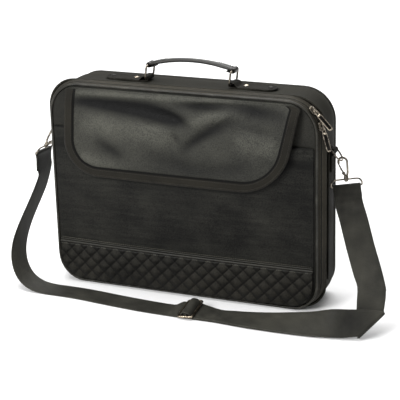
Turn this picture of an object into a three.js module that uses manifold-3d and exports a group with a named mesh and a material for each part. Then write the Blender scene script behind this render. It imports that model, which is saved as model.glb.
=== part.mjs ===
// Soft zipped case for a prayer shawl: a shallow upright bag with a front pocket, a flap with a
// webbing border, a quilted strip, a rolled top handle and a shoulder strap on two snap hooks.
// Millimetres, +Z up, X along the width, the front faces -Y. The origin is the middle of the base.
import * as THREE from 'three';
import { mergeVertices } from 'three/addons/utils/BufferGeometryUtils.js';
import Module from 'manifold-3d';

const wasm = await Module();
wasm.setup();

// Clearances
const SEAM_GAP = 0.3;
const LINK_GAP = 0.5;

// Case
const CASE_WIDTH = 400;
const CASE_HEIGHT = 300;
const CASE_DEPTH = 80;
const CASE_WALL = 2.4;
const TOP_CORNER_RADIUS = 44;
const BASE_CORNER_RADIUS = 38;
const BACK_EDGE_CHAMFER = 3;
const RIM_FLARE = 8;
const GUSSET_FLARE = 0.4;
const ZIP_BAND_DEPTH = 11.5;
const ZIP_BAND_WALL = 2.2;
const PANEL_WALL = 2;
const FRONT_PIPING_RADIUS = 1.7;
const BACK_PIPING_RADIUS = 1.4;

// Front pocket, quilted strip and flap
const POCKET_HEIGHT = 236;
const POCKET_WALL = 1.8;
const POCKET_BULGE = 6;
const QUILT_HEIGHT = 60;
const QUILT_WALL = 2;
const QUILT_RELIEF = 1.4;
const QUILT_COUNT = 19;
const FLAP_WIDTH = 347;
const FLAP_LENGTH = 122.5;
const FLAP_WALL = 2.2;
const FLAP_BULGE = 14;
const FLAP_CROWN = 0.3;
const FLAP_EDGE_STAND = 4.2;
const BINDING_WIDTH = 14;
const BINDING_WALL = 1.3;

// Top handle
const HANDLE_SPAN = 126;
const HANDLE_OFFSET_Y = 4;
const HANDLE_ARCH = 9;
const HANDLE_THICKNESS = 6;
const HANDLE_WIDTH = 9;
const HANDLE_END_WIDTH = 15;
const HANDLE_RING_HEIGHT = 19;
const HANDLE_RING_WIDTH = 31;
const HANDLE_RING_WIRE = 2.8;
const HANDLE_RING_CORNER = 3;
const HANDLE_RING_LEAN = 8;
const HANDLE_EYE_WALL = 2.2;
const HANDLE_TAB_LENGTH = 66;
const HANDLE_TAB_WIDTH = 25;
const HANDLE_TAB_WALL = 2.4;
const RIVET_RADIUS = 3.6;
const RIVET_HEIGHT = 1.6;

// Side strips, tabs and rings
const SIDE_STRIP_WIDTH = 26;
const SIDE_STRIP_HEIGHT = 226;
const SIDE_STRIP_WALL = 1.6;
const SIDE_OFFSET_Y = 6;
const SIDE_TAB_WIDTH = 14;
const SIDE_TAB_HEIGHT = 30;
const SIDE_TAB_WALL = 2;
const SIDE_RING_WIDTH = 20;
const SIDE_RING_LENGTH = 17;
const SIDE_RING_WIRE = 2.4;

// Snap hooks and strap loops
const HOOK_WIRE = 3;
const HOOK_BOW_RADIUS = 6.2;
const HOOK_LENGTH = 24;
const GATE_WIRE = 2.2;
const SWIVEL_RADIUS = 3.2;
const SWIVEL_PIN_RADIUS = 1.1;
const LOOP_WIRE = 2.4;
const LOOP_HEIGHT = 10;

// Shoulder strap
const STRAP_WIDTH = 38;
const STRAP_WALL = 1.6;
const STRAP_LAYER_GAP = 0.3;
const BUCKLE_WIRE = 3;
const BUCKLE_LENGTH = 24;
const BUCKLE_TIP = 10;

// Zip sliders and pulls
const SLIDER_LENGTH = 12;
const SLIDER_WIDTH = 8;
const SLIDER_HEIGHT = 3;
const BRIDGE_LENGTH = 9;
const BRIDGE_WIDTH = 2.4;
const BRIDGE_WALL = 1.8;
const PULL_LENGTH = 35;
const PULL_NECK = 9;
const PULL_WIDTH = 9;
const PULL_WALL = 1.8;
const SLIDER_ANGLES = { upper: 43, lower: 16 };

const FRONT_Y = -CASE_DEPTH / 2;
const BACK_Y = CASE_DEPTH / 2;
const RIM_Y = FRONT_Y + FRONT_PIPING_RADIUS + ZIP_BAND_DEPTH;
const CORNER_STEPS = 6;
const X = new THREE.Vector3(1, 0, 0);
const Y = new THREE.Vector3(0, 1, 0);
const Z = new THREE.Vector3(0, 0, 1);
const UPWARD = new THREE.Vector3(0.2, 0.4, 1);
const rad = THREE.MathUtils.degToRad;
const lerp = THREE.MathUtils.lerp;
const vec = (x, y, z) => new THREE.Vector3(x, y, z);

const finish = {
  nylon: { color: 0x5b5651, roughness: 0.8, metalness: 0 },
  panel: { color: 0x55564f, roughness: 0.6, metalness: 0 },
  pocket: { color: 0x45463f, roughness: 0.5, metalness: 0 },
  quilt: { color: 0x33312e, roughness: 0.6, metalness: 0 },
  flap: { color: 0x6d7068, roughness: 0.5, metalness: 0 },
  webbing: { color: 0x4a423b, roughness: 0.8, metalness: 0 },
  piping: { color: 0x66665f, roughness: 0.5, metalness: 0 },
  leather: { color: 0x57534e, roughness: 0.55, metalness: 0 },
  strap: { color: 0x615b57, roughness: 0.7, metalness: 0 },
  metal: { color: 0x6a655d, roughness: 0.3, metalness: 1 },
};

const part = new THREE.Group();

function add(name, geometry, look, parent = part) {
  const mesh = new THREE.Mesh(geometry, new THREE.MeshStandardMaterial(finish[look]));
  mesh.name = name;
  parent.add(mesh);
  return mesh;
}

// Geometry helpers

/** A closed mesh from corner points and triangles, turned so that its faces point outwards. */
function closedMesh(points, triangles) {
  let volume = 0;
  for (const [a, b, c] of triangles) {
    volume += points[a].dot(points[b].clone().cross(points[c]));
  }
  const turned = volume < 0 ? triangles.map(([a, b, c]) => [a, c, b]) : triangles;
  const geometry = new THREE.BufferGeometry();
  const flat = points.flatMap((p) => [p.x, p.y, p.z]);
  geometry.setAttribute('position', new THREE.Float32BufferAttribute(flat, 3));
  geometry.setIndex(turned.flat());
  geometry.computeVertexNormals();
  return geometry;
}

/**
 * Skin over a row of rings with equal point counts. The ends are 'strip' (opposite points of the
 * ring are joined in pairs), 'fan' (round a middle point) or 'joined' (last ring to the first).
 * A twisted quad is split along its higher diagonal, so layers that lie on each other split alike.
 */
function loft(rings, ends = 'strip', endBulge = null) {
  const n = rings[0].length;
  const points = rings.flat().map((p) => p.clone());
  const triangles = [];
  const rows = ends === 'joined' ? rings.length : rings.length - 1;
  for (let i = 0; i < rows; i += 1) {
    const next = (i + 1) % rings.length;
    for (let j = 0; j < n; j += 1) {
      const k = (j + 1) % n;
      const [a, b, c, d] = [i * n + j, i * n + k, next * n + k, next * n + j];
      const rise = points[a].clone().add(points[c]).sub(points[b]).sub(points[d]).dot(UPWARD);
      if (rise > 0) triangles.push([a, b, c], [a, c, d]);
      else triangles.push([a, b, d], [b, c, d]);
    }
  }
  if (ends === 'strip') {
    for (const [base, flip] of [[0, true], [(rings.length - 1) * n, false]]) {
      for (let j = 0; j < n / 2 - 1; j += 1) {
        const [a, b, c, d] = [base + j, base + j + 1, base + n - 2 - j, base + n - 1 - j];
        triangles.push(flip ? [a, c, b] : [a, b, c], flip ? [a, d, c] : [a, c, d]);
      }
    }
  }
  if (ends === 'fan') {
    for (const [row, flip] of [[0, true], [rings.length - 1, false]]) {
      const middle = vec(0, 0, 0);
      for (const p of rings[row]) middle.addScaledVector(p, 1 / n);
      if (endBulge) middle.add(endBulge);
      points.push(middle);
      for (let j = 0; j < n; j += 1) {
        const [a, b] = [row * n + j, row * n + ((j + 1) % n)];
        triangles.push(flip ? [points.length - 1, b, a] : [points.length - 1, a, b]);
      }
    }
  }
  return closedMesh(points, triangles);
}

/** Round bar of the given radius along points that lie in the plane with this normal. */
function wire(path, radius, normal, { sides = 6, closed = false } = {}) {
  const n = path.length;
  const rings = path.map((p, i) => {
    const before = path[closed ? (i + n - 1) % n : Math.max(i - 1, 0)];
    const after = path[closed ? (i + 1) % n : Math.min(i + 1, n - 1)];
    const along = after.clone().sub(before).normalize();
    const inward = p.clone().sub(before).normalize();
    const bend = i === 0 && !closed ? 1 : Math.max(Math.abs(inward.dot(along)), 0.5);
    const across = along.clone().cross(normal).normalize();
    return Array.from({ length: sides }, (_, k) => {
      const angle = (2 * Math.PI * (k + 0.5)) / sides;
      return p.clone()
        .addScaledVector(across, (radius * Math.cos(angle)) / bend)
        .addScaledVector(normal, radius * Math.sin(angle));
    });
  });
  return loft(rings, closed ? 'joined' : 'strip');
}

/** Points on an arc in the plane of the unit directions u and v. */
function arc(centre, radius, from, to, steps, u = X, v = Z) {
  return Array.from({ length: steps + 1 }, (_, i) => {
    const angle = rad(lerp(from, to, i / steps));
    return centre.clone()
      .addScaledVector(u, radius * Math.cos(angle))
      .addScaledVector(v, radius * Math.sin(angle));
  });
}

/** Rectangle with round corners, as one closed loop in the plane of u and v. */
function roundLoop(centre, width, height, radius, steps, u, v) {
  const corners = [[1, 1, 0], [-1, 1, 90], [-1, -1, 180], [1, -1, 270]];
  return corners.flatMap(([su, sv, start]) => {
    const middle = centre.clone()
      .addScaledVector(u, su * (width / 2 - radius))
      .addScaledVector(v, sv * (height / 2 - radius));
    return arc(middle, radius, start, start + 90, steps, u, v);
  });
}

/** A flat outline in the plane of u and v, drawn from [u, v] pairs and made thick along w. */
function slab(outline, holes, u, v, w, low, high, origin = vec(0, 0, 0)) {
  const shape = new THREE.Shape(outline.map(([a, b]) => new THREE.Vector2(a, b)));
  for (const hole of holes) {
    shape.holes.push(new THREE.Path(hole.map(([a, b]) => new THREE.Vector2(a, b))));
  }
  const geometry = new THREE.ExtrudeGeometry(shape, { depth: high - low, bevelEnabled: false });
  const place = new THREE.Matrix4().makeBasis(u, v, w);
  place.setPosition(origin.clone().addScaledVector(w, low));
  geometry.applyMatrix4(place);
  return geometry;
}

function circlePoints(cx, cy, radius, count) {
  return Array.from({ length: count }, (_, i) => {
    const angle = (2 * Math.PI * i) / count;
    return [cx + radius * Math.cos(angle), cy + radius * Math.sin(angle)];
  });
}

/** Round bar along w from low to high, standing at the origin point. */
function post(origin, radius, w, low, high, sides = 12) {
  const geometry = new THREE.CylinderGeometry(radius, radius, high - low, sides);
  const turn = new THREE.Quaternion().setFromUnitVectors(Y, w);
  geometry.applyQuaternion(turn);
  const middle = origin.clone().addScaledVector(w, (low + high) / 2);
  geometry.translate(middle.x, middle.y, middle.z);
  return geometry;
}

function toSolid(geometry) {
  const bare = geometry.clone();
  for (const name of ['normal', 'uv']) bare.deleteAttribute(name);
  const merged = mergeVertices(bare, 1e-4);
  return new wasm.Manifold(new wasm.Mesh({
    numProp: 3,
    vertProperties: new Float32Array(merged.attributes.position.array),
    triVerts: new Uint32Array(merged.index.array),
  }));
}

function fromSolid(solid) {
  const mesh = solid.getMesh();
  const geometry = new THREE.BufferGeometry();
  geometry.setAttribute('position', new THREE.BufferAttribute(new Float32Array(mesh.vertProperties), 3));
  geometry.setIndex(new THREE.BufferAttribute(new Uint32Array(mesh.triVerts), 1));
  geometry.computeVertexNormals();
  return geometry;
}

function join(...geometries) {
  return fromSolid(geometries.map(toSolid).reduce((a, b) => a.add(b)));
}

function cut(base, ...tools) {
  return fromSolid(tools.map(toSolid).reduce((a, b) => a.subtract(b), toSolid(base)));
}

// Case

/** Upright outline at depth y: straight sides and base, round corners. */
function outline(y, halfWidth, bottom, top, topRadius, baseRadius) {
  const corners = [
    [1, top - topRadius, topRadius, 0],
    [-1, top - topRadius, topRadius, 90],
    [-1, bottom + baseRadius, baseRadius, 180],
    [1, bottom + baseRadius, baseRadius, 270],
  ];
  return corners.flatMap(([side, z, radius, start]) => {
    const centre = vec(side * (halfWidth - radius), y, z);
    return arc(centre, radius, start, start + 90, CORNER_STEPS);
  });
}

const backHalfWidth = CASE_WIDTH / 2 - BACK_PIPING_RADIUS;
const backTop = CASE_HEIGHT - BACK_PIPING_RADIUS;
const rimHalfWidth = CASE_WIDTH / 2 + RIM_FLARE;
const rimTop = CASE_HEIGHT + RIM_FLARE * GUSSET_FLARE;
const pipingHalfWidth = CASE_WIDTH / 2 - FRONT_PIPING_RADIUS;
const pipingTop = CASE_HEIGHT - FRONT_PIPING_RADIUS;
const gussetHalfWidth = lerp(backHalfWidth, rimHalfWidth, GUSSET_FLARE);
const backPipingRise = BACK_PIPING_RADIUS + SEAM_GAP;

// Gusset sections from the front rim to the back panel. depth is a share of the run from the rim to
// the back, flare of the rim flare, lift of the back piping's height and chamfer of the back chamfer.
const GUSSET_SECTIONS = [
  { depth: 0, flare: 1, lift: 0, chamfer: 0 },
  { depth: 0.22, flare: GUSSET_FLARE, lift: 0, chamfer: 0 },
  { depth: 0.72, flare: GUSSET_FLARE, lift: 0, chamfer: 0 },
  { depth: 0.955, flare: 0, lift: 1, chamfer: 0 },
  { depth: 1, flare: 0, lift: 1, chamfer: 1 },
];

function gussetRing(section, inset) {
  const { depth, flare, lift, chamfer } = section;
  const y = Math.min(lerp(RIM_Y, BACK_Y, depth), BACK_Y - inset);
  const edge = chamfer * BACK_EDGE_CHAMFER;
  const halfWidth = lerp(backHalfWidth, rimHalfWidth, flare) - edge - inset;
  const top = lerp(backTop, rimTop, flare) - edge - inset;
  const bottom = lift * backPipingRise + edge + inset;
  return outline(y, halfWidth, bottom, top, TOP_CORNER_RADIUS - inset, BASE_CORNER_RADIUS - inset);
}

function makeCaseShell() {
  const outer = GUSSET_SECTIONS.map((section) => gussetRing(section, 0));
  const inner = GUSSET_SECTIONS.slice(0, -1).map((section) => gussetRing(section, CASE_WALL));
  inner[inner.length - 1] = inner.at(-1).map((p) => p.clone().setY(BACK_Y - CASE_WALL));
  return loft([...inner.reverse(), ...outer], 'fan');
}

function makeZipBand() {
  const front = FRONT_Y + FRONT_PIPING_RADIUS + SEAM_GAP;
  const back = RIM_Y - SEAM_GAP;
  const ring = (y, halfWidth, bottom, top) => outline(
    y, halfWidth, bottom, top,
    TOP_CORNER_RADIUS + halfWidth - pipingHalfWidth,
    BASE_CORNER_RADIUS + halfWidth - pipingHalfWidth,
  );
  return loft([
    ring(front, pipingHalfWidth, SEAM_GAP * 4, pipingTop),
    ring(back, rimHalfWidth - SEAM_GAP, SEAM_GAP, rimTop - SEAM_GAP),
    ring(back, rimHalfWidth - SEAM_GAP - ZIP_BAND_WALL, ZIP_BAND_WALL, rimTop - ZIP_BAND_WALL),
    ring(front, pipingHalfWidth - ZIP_BAND_WALL, SEAM_GAP * 4 + ZIP_BAND_WALL, pipingTop - ZIP_BAND_WALL),
  ], 'joined');
}

/** Ring of round cord along an outline that lies in a plane across Y. */
function pipingRing(y, halfWidth, bottom, top, radius) {
  const path = outline(y, halfWidth, bottom, top, TOP_CORNER_RADIUS, BASE_CORNER_RADIUS);
  return wire(path, radius, Y, { closed: true });
}

const panelHalfWidth = pipingHalfWidth - FRONT_PIPING_RADIUS - SEAM_GAP;
const panelTop = pipingTop - FRONT_PIPING_RADIUS - SEAM_GAP;
const frontPipingBottom = FRONT_PIPING_RADIUS + SEAM_GAP;
const panelBottom = frontPipingBottom + FRONT_PIPING_RADIUS + SEAM_GAP;
const panelTopRadius = TOP_CORNER_RADIUS - FRONT_PIPING_RADIUS;
const panelBaseRadius = BASE_CORNER_RADIUS - FRONT_PIPING_RADIUS;

function panelPlate(front, back, inset, bulge = null) {
  const ring = (y) => outline(
    y, panelHalfWidth - inset, panelBottom + inset, panelTop - inset,
    panelTopRadius - inset, panelBaseRadius - inset,
  );
  return loft([ring(back), ring(front)], 'fan', bulge);
}

add('case_shell', makeCaseShell(), 'nylon');
add('zip_band', makeZipBand(), 'nylon');
add('front_panel', panelPlate(FRONT_Y, FRONT_Y + PANEL_WALL, 0), 'panel');
add(
  'front_piping',
  pipingRing(FRONT_Y, pipingHalfWidth, frontPipingBottom, pipingTop, FRONT_PIPING_RADIUS),
  'piping',
);
add(
  'back_piping',
  pipingRing(BACK_Y - BACK_PIPING_RADIUS / 2, backHalfWidth, backPipingRise, backTop, BACK_PIPING_RADIUS),
  'piping',
);

// Front pocket and quilted strip

/** Half width of the front panel at height z, inside its round lower corners. */
function lowerHalfWidth(z, inset) {
  const radius = panelBaseRadius - inset;
  const rise = Math.max(panelBottom + inset + radius - z, 0);
  const reach = Math.sqrt(Math.max(radius * radius - rise * rise, 0));
  return panelHalfWidth - inset - radius + reach;
}

/** How far the pocket's outer face stands off the front panel; u runs -1..1, z is the height. */
function pocketFace(u, z) {
  const lift = Math.sin((Math.PI / 2) * Math.min(z / POCKET_HEIGHT, 1));
  const crown = (1 - u * u) * (0.35 + 0.65 * lift);
  return FRONT_Y - SEAM_GAP - POCKET_WALL - POCKET_BULGE * crown;
}

/**
 * Wall between two faces given as functions of (u, z, x), in rows of the named heights; u runs from
 * -1 to 1 across the wall, and its width may differ on the two sides of the middle.
 */
function wallSheet(rows, columns, halfWidthAt, outerAt, innerAt) {
  const rings = rows.map((z) => {
    const places = Array.from({ length: columns + 1 }, (_, i) => {
      const u = -1 + (2 * i) / columns;
      return [u, u * halfWidthAt(z, u < 0 ? -1 : 1)];
    });
    const outer = places.map(([u, x]) => vec(x, outerAt(u, z, x), z));
    const inner = places.map(([u, x]) => vec(x, innerAt(u, z, x), z));
    return [...outer, ...inner.reverse()];
  });
  return loft(rings);
}

function heightRows(low, high, count, cornerTop = low, cornerCount = 0) {
  const corner = Array.from({ length: cornerCount }, (_, i) => {
    const angle = (Math.PI / 2) * (i / cornerCount);
    return lerp(low, cornerTop, 1 - Math.cos(angle));
  });
  const start = cornerCount ? cornerTop : low;
  const straight = Array.from({ length: count + 1 }, (_, i) => lerp(start, high, i / count));
  return [...corner, ...straight];
}

const pocketInset = 2;
const pocketBottom = panelBottom + pocketInset;
const cornerTop = panelBottom + panelBaseRadius;

add(
  'front_pocket',
  wallSheet(
    heightRows(pocketBottom, POCKET_HEIGHT, 6, cornerTop, 5),
    12,
    (z) => lowerHalfWidth(z, pocketInset),
    pocketFace,
    (u, z) => pocketFace(u, z) + POCKET_WALL,
  ),
  'pocket',
);

/** Diamond padding: the product of two slanted ridges, highest in each diamond's middle. */
function quiltRelief(x, z) {
  const pitch = (2 * panelHalfWidth) / QUILT_COUNT;
  const a = Math.abs(Math.sin((Math.PI * (x + z)) / pitch));
  const b = Math.abs(Math.sin((Math.PI * (x - z)) / pitch));
  return QUILT_RELIEF * Math.sqrt(Math.min(a, b));
}

const quiltInset = 3;
const quiltBottom = panelBottom + quiltInset;
add(
  'quilted_strip',
  wallSheet(
    heightRows(quiltBottom, QUILT_HEIGHT, 3, cornerTop, 4),
    QUILT_COUNT * 2,
    (z) => lowerHalfWidth(z, quiltInset),
    (u, z, x) => pocketFace(u, z) - SEAM_GAP - QUILT_WALL - quiltRelief(x, z),
    (u, z) => pocketFace(u, z) - SEAM_GAP,
  ),
  'quilt',
);

// Flap and its border

const flapTop = panelTop - 4;
const flapBottom = flapTop - FLAP_LENGTH;

/** Half width that the front panel's round upper corners leave the flap at height z. */
function upperHalfWidth(z) {
  const rise = Math.max(z - panelTop + panelTopRadius, 0);
  const reach = Math.sqrt(Math.max(panelTopRadius * panelTopRadius - rise * rise, 0));
  return panelHalfWidth - panelTopRadius + reach - BINDING_WALL - 2 * SEAM_GAP;
}

// The flap hangs a little askew. For each side: its share of the flap's width at the top, how far
// its edge runs outwards for each millimetre down, and the radius of its lower corner.
const FLAP_SIDES = {
  left: { share: 0.49, lean: 0.029, corner: 51.5 },
  right: { share: 0.51, lean: -0.212, corner: 59.5 },
};

/** Width of the flap on one side of the middle at height z, with its round lower corner. */
function flapHalfWidth(z, { share, lean, corner }, inset = 0) {
  const edge = share * FLAP_WIDTH + lean * (flapTop - z);
  const half = Math.min(edge, upperHalfWidth(z)) - inset;
  const radius = corner - inset;
  const rise = Math.max(flapBottom + inset + radius - z, 0);
  return half - radius + Math.sqrt(Math.max(radius * radius - rise * rise, 0));
}

// The flap's stand-off down its length, as shares of the flap bulge past the pocket.
const FLAP_PROFILE = [
  { drop: 0, stand: 0.0 },
  { drop: 0.06, stand: 0.34 },
  { drop: 0.16, stand: 0.62 },
  { drop: 0.34, stand: 0.8 },
  { drop: 0.58, stand: 1.0 },
  { drop: 0.82, stand: 0.92 },
  { drop: 1, stand: 0.72 },
];

function tableAt(table, key, value, at) {
  const i = Math.max(table.findIndex((row) => row[key] >= at), 1);
  const [a, b] = [table[i - 1], table[i]];
  const share = THREE.MathUtils.clamp((at - a[key]) / (b[key] - a[key]), 0, 1);
  return lerp(a[value], b[value], share);
}

/** Depth of the flap's outer face at x and height z: bulged in the middle, close at the sides. */
function flapFace(x, z) {
  const drop = THREE.MathUtils.clamp((flapTop - z) / FLAP_LENGTH, 0, 1);
  const u = THREE.MathUtils.clamp(Math.abs(x) / (FLAP_WIDTH / 2), 0, 1);
  const stand = tableAt(FLAP_PROFILE, 'drop', 'stand', drop);
  const crown = 1 - FLAP_CROWN * u ** 4;
  const base = FRONT_Y - SEAM_GAP - FLAP_WALL;
  const pocket = z < POCKET_HEIGHT + 12 ? POCKET_WALL + 2.5 * SEAM_GAP : 0;
  const clear = pocket + POCKET_BULGE * (1 - u * u) * Math.min(drop * 4, 1);
  return base - Math.max(FLAP_BULGE * stand * crown, clear + FLAP_EDGE_STAND * stand);
}

const flapCornerTop = flapBottom + FLAP_SIDES.right.corner;
const flapRows = [
  ...heightRows(flapBottom, flapCornerTop, 1, flapCornerTop, 6).slice(0, -1),
  ...FLAP_PROFILE.map((row) => flapTop - row.drop * FLAP_LENGTH).filter((z) => z > flapCornerTop).reverse(),
];
const flapHalfAt = (z, side) => flapHalfWidth(z, side < 0 ? FLAP_SIDES.left : FLAP_SIDES.right);
add(
  'flap',
  wallSheet(
    flapRows,
    14,
    flapHalfAt,
    (u, z, x) => flapFace(x, z),
    (u, z, x) => flapFace(x, z) + FLAP_WALL,
  ),
  'flap',
);

/** One side's edge from the top down, as x and z with inset, at the flap's own rows. */
function flapSideEdge(side, inset) {
  const radius = side.corner - inset;
  const cornerMiddle = flapBottom + side.corner;
  return [...flapRows].reverse().map((row) => {
    const drop = Math.max(cornerMiddle - row, 0) / side.corner;
    const z = drop > 0 ? cornerMiddle - drop * radius : row;
    return [flapHalfWidth(z, side, inset), z];
  });
}

/** The border's route: down one side, along the bottom and up the other, as x and z with inset. */
function flapEdge(inset) {
  const right = flapSideEdge(FLAP_SIDES.right, inset);
  const left = flapSideEdge(FLAP_SIDES.left, inset).map(([x, z]) => [-x, z]).reverse();
  const [from, to] = [right.at(-1)[0], left[0][0]];
  const bottom = Array.from({ length: 7 }, (_, i) => [lerp(from, to, (i + 1) / 8), flapBottom + inset]);
  return [...right, ...bottom, ...left];
}

function makeFlapBinding() {
  const gap = SEAM_GAP;
  const wall = BINDING_WALL;
  // Each corner of the border's section: how far in from the flap's edge, and how far it stands off.
  const section = [
    { inset: BINDING_WIDTH, off: gap + wall },
    { inset: -gap - wall, off: gap + wall },
    { inset: -gap - wall, off: -FLAP_WALL },
    { inset: -gap, off: -FLAP_WALL },
    { inset: -gap, off: gap },
    { inset: BINDING_WIDTH, off: gap },
  ];
  const routes = section.map(({ inset }) => flapEdge(inset));
  const rings = routes[0].map((_, i) => section.map(({ off }, k) => {
    const [x, z] = routes[k][i];
    return vec(x, flapFace(x, z) - off, z);
  }));
  return loft(rings);
}
add('flap_binding', makeFlapBinding(), 'webbing');

// Top handle: two tabs, two rings that lean together, and a rolled grip

const ringRadius = HANDLE_RING_WIRE / 2;
const tabEyeBore = ringRadius + LINK_GAP;
const tabEyeRadius = tabEyeBore + HANDLE_TAB_WALL;
const gussetTop = lerp(backTop, rimTop, GUSSET_FLARE);
const tabFloor = gussetTop + SEAM_GAP;
const ringFootZ = tabFloor + tabEyeRadius;
const tabEyeHalf = (HANDLE_RING_WIDTH - HANDLE_RING_WIRE) / 2 - HANDLE_RING_CORNER - LINK_GAP;
const lean = rad(HANDLE_RING_LEAN);
const ringRun = vec(Math.sin(lean), 0, Math.cos(lean));

function makeHandleTab(side) {
  const footX = (side * HANDLE_SPAN) / 2;
  const half = HANDLE_TAB_WIDTH / 2;
  const eye = circlePoints(footX, ringFootZ, tabEyeRadius, 16);
  const eyePost = slab(eye, [], X, Z, Y.clone().negate(), -tabEyeHalf, tabEyeHalf);
  const bore = slab(
    circlePoints(footX, ringFootZ, tabEyeBore, 12), [], X, Z, Y.clone().negate(),
    -HANDLE_TAB_WIDTH, HANDLE_TAB_WIDTH,
  );
  const tip = arc(vec(HANDLE_TAB_LENGTH - half, 0, 0), half, -90, 90, 8, X, Y).map((p) => [p.x, p.y]);
  const plan = [[0, -half], ...tip, [0, half]].map(([x, y]) => [footX + side * x, y]);
  const plate = slab(plan, [], X, Y, Z, tabFloor, tabFloor + HANDLE_TAB_WALL);
  const tab = cut(join(plate, eyePost), bore);
  tab.translate(0, HANDLE_OFFSET_Y, 0);
  return tab;
}

function makeHandleRing(side) {
  const foot = vec((side * HANDLE_SPAN) / 2, HANDLE_OFFSET_Y, ringFootZ);
  const middle = foot.clone().addScaledVector(ringRun, HANDLE_RING_HEIGHT / 2);
  const width = HANDLE_RING_WIDTH - HANDLE_RING_WIRE;
  const path = roundLoop(middle, width, HANDLE_RING_HEIGHT, HANDLE_RING_CORNER, 2, Y, ringRun);
  const normal = Y.clone().cross(ringRun).normalize();
  return wire(path, ringRadius, normal, { closed: true, sides: 6 });
}

function makeRivet(x) {
  const base = tabFloor + HANDLE_TAB_WALL + SEAM_GAP;
  const profile = [[0, 0], [1, 0], [0.92, 0.55], [0.6, 0.9], [0, 1]]
    .map(([r, h]) => new THREE.Vector2(r * RIVET_RADIUS, h * RIVET_HEIGHT));
  const geometry = new THREE.LatheGeometry(profile, 12);
  geometry.rotateX(Math.PI / 2);
  geometry.translate(x, HANDLE_OFFSET_Y, base);
  return geometry;
}

// Rolled grip: half widths and thicknesses along the span, as shares of the named sizes. The rise
// is a share of the arch; wide is 0 for the rolled middle and 1 for the flat ends.
const GRIP_SECTIONS = [
  { along: -0.435, rise: 0.12, wide: 1, thick: 0.72 },
  { along: -0.33, rise: 0.5, wide: 0.75, thick: 0.9 },
  { along: -0.22, rise: 0.8, wide: 0.2, thick: 1 },
  { along: -0.08, rise: 1, wide: 0, thick: 1 },
  { along: 0.08, rise: 1, wide: 0, thick: 1 },
  { along: 0.22, rise: 0.8, wide: 0.2, thick: 1 },
  { along: 0.33, rise: 0.5, wide: 0.75, thick: 0.9 },
  { along: 0.435, rise: 0.12, wide: 1, thick: 0.72 },
];
const gripShift = HANDLE_RING_HEIGHT * Math.sin(lean);
const gripEyeZ = ringFootZ + HANDLE_RING_HEIGHT * Math.cos(lean);
const gripEyeRadius = ringRadius + LINK_GAP + HANDLE_EYE_WALL;

function makeHandleGrip() {
  const sides = 8;
  const path = GRIP_SECTIONS.map(({ along, rise }) => vec(
    gripShift + along * HANDLE_SPAN * 1.12, HANDLE_OFFSET_Y, gripEyeZ + rise * HANDLE_ARCH,
  ));
  const rings = GRIP_SECTIONS.map(({ wide, thick }, i) => {
    const before = path[Math.max(i - 1, 0)];
    const after = path[Math.min(i + 1, path.length - 1)];
    const up = Y.clone().cross(after.clone().sub(before).normalize()).negate();
    const halfWidth = lerp(HANDLE_WIDTH, HANDLE_END_WIDTH, wide) / 2;
    return Array.from({ length: sides }, (_, k) => {
      const angle = (2 * Math.PI * (k + 0.5)) / sides;
      return path[i].clone()
        .addScaledVector(Y, halfWidth * Math.cos(angle))
        .addScaledVector(up, (thick * HANDLE_THICKNESS * Math.sin(angle)) / 2);
    });
  });
  const eyes = [-1, 1].map((side) => {
    const x = (side * HANDLE_SPAN) / 2 + gripShift;
    const low = -HANDLE_END_WIDTH / 2;
    const outer = circlePoints(x, gripEyeZ, gripEyeRadius, 14);
    const block = slab(outer, [], X, Z, Y.clone().negate(), low, -low);
    block.translate(0, HANDLE_OFFSET_Y, 0);
    const bore = slab(
      circlePoints(x, gripEyeZ, ringRadius + LINK_GAP, 12), [], X, Z, Y.clone().negate(), 2 * low, -2 * low,
    );
    bore.translate(0, HANDLE_OFFSET_Y, 0);
    return { block, bore };
  });
  const solid = join(loft(rings), eyes[0].block, eyes[1].block);
  return cut(solid, eyes[0].bore, eyes[1].bore);
}

for (const [name, side] of [['left', -1], ['right', 1]]) {
  add(`handle_tab_${name}`, makeHandleTab(side), 'leather');
  add(`handle_ring_${name}`, makeHandleRing(side), 'metal');
  for (const [place, share] of [['inner', 0.3], ['outer', 0.84]]) {
    const x = side * (HANDLE_SPAN / 2 + share * HANDLE_TAB_LENGTH);
    add(`handle_rivet_${name}_${place}`, makeRivet(x), 'metal');
  }
}
add('handle_grip', makeHandleGrip(), 'leather');

// Sides: strip, tab, ring, snap hook and strap loop

const stripFace = gussetHalfWidth + SEAM_GAP;
const tabBase = stripFace + SIDE_STRIP_WALL + SEAM_GAP;
const sideRingRadius = SIDE_RING_WIRE / 2;
const sideEyeBore = sideRingRadius + LINK_GAP;
const sideEyeRadius = sideEyeBore + SIDE_TAB_WALL;
const sideEyeX = tabBase + sideEyeRadius;
const sideEyeZ = SIDE_STRIP_HEIGHT - sideEyeRadius;
const hookRadius = HOOK_WIRE / 2;

// How each side hangs: the lean of the ring and of the hook from straight down, outwards, and the
// turn of the strap loop about the hook's line, in degrees.
const SIDES = {
  left: { side: -1, ringLean: 40, hookLean: 30, loopTurn: 86 },
  right: { side: 1, ringLean: 38, hookLean: 4, loopTurn: 26 },
};

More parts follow.
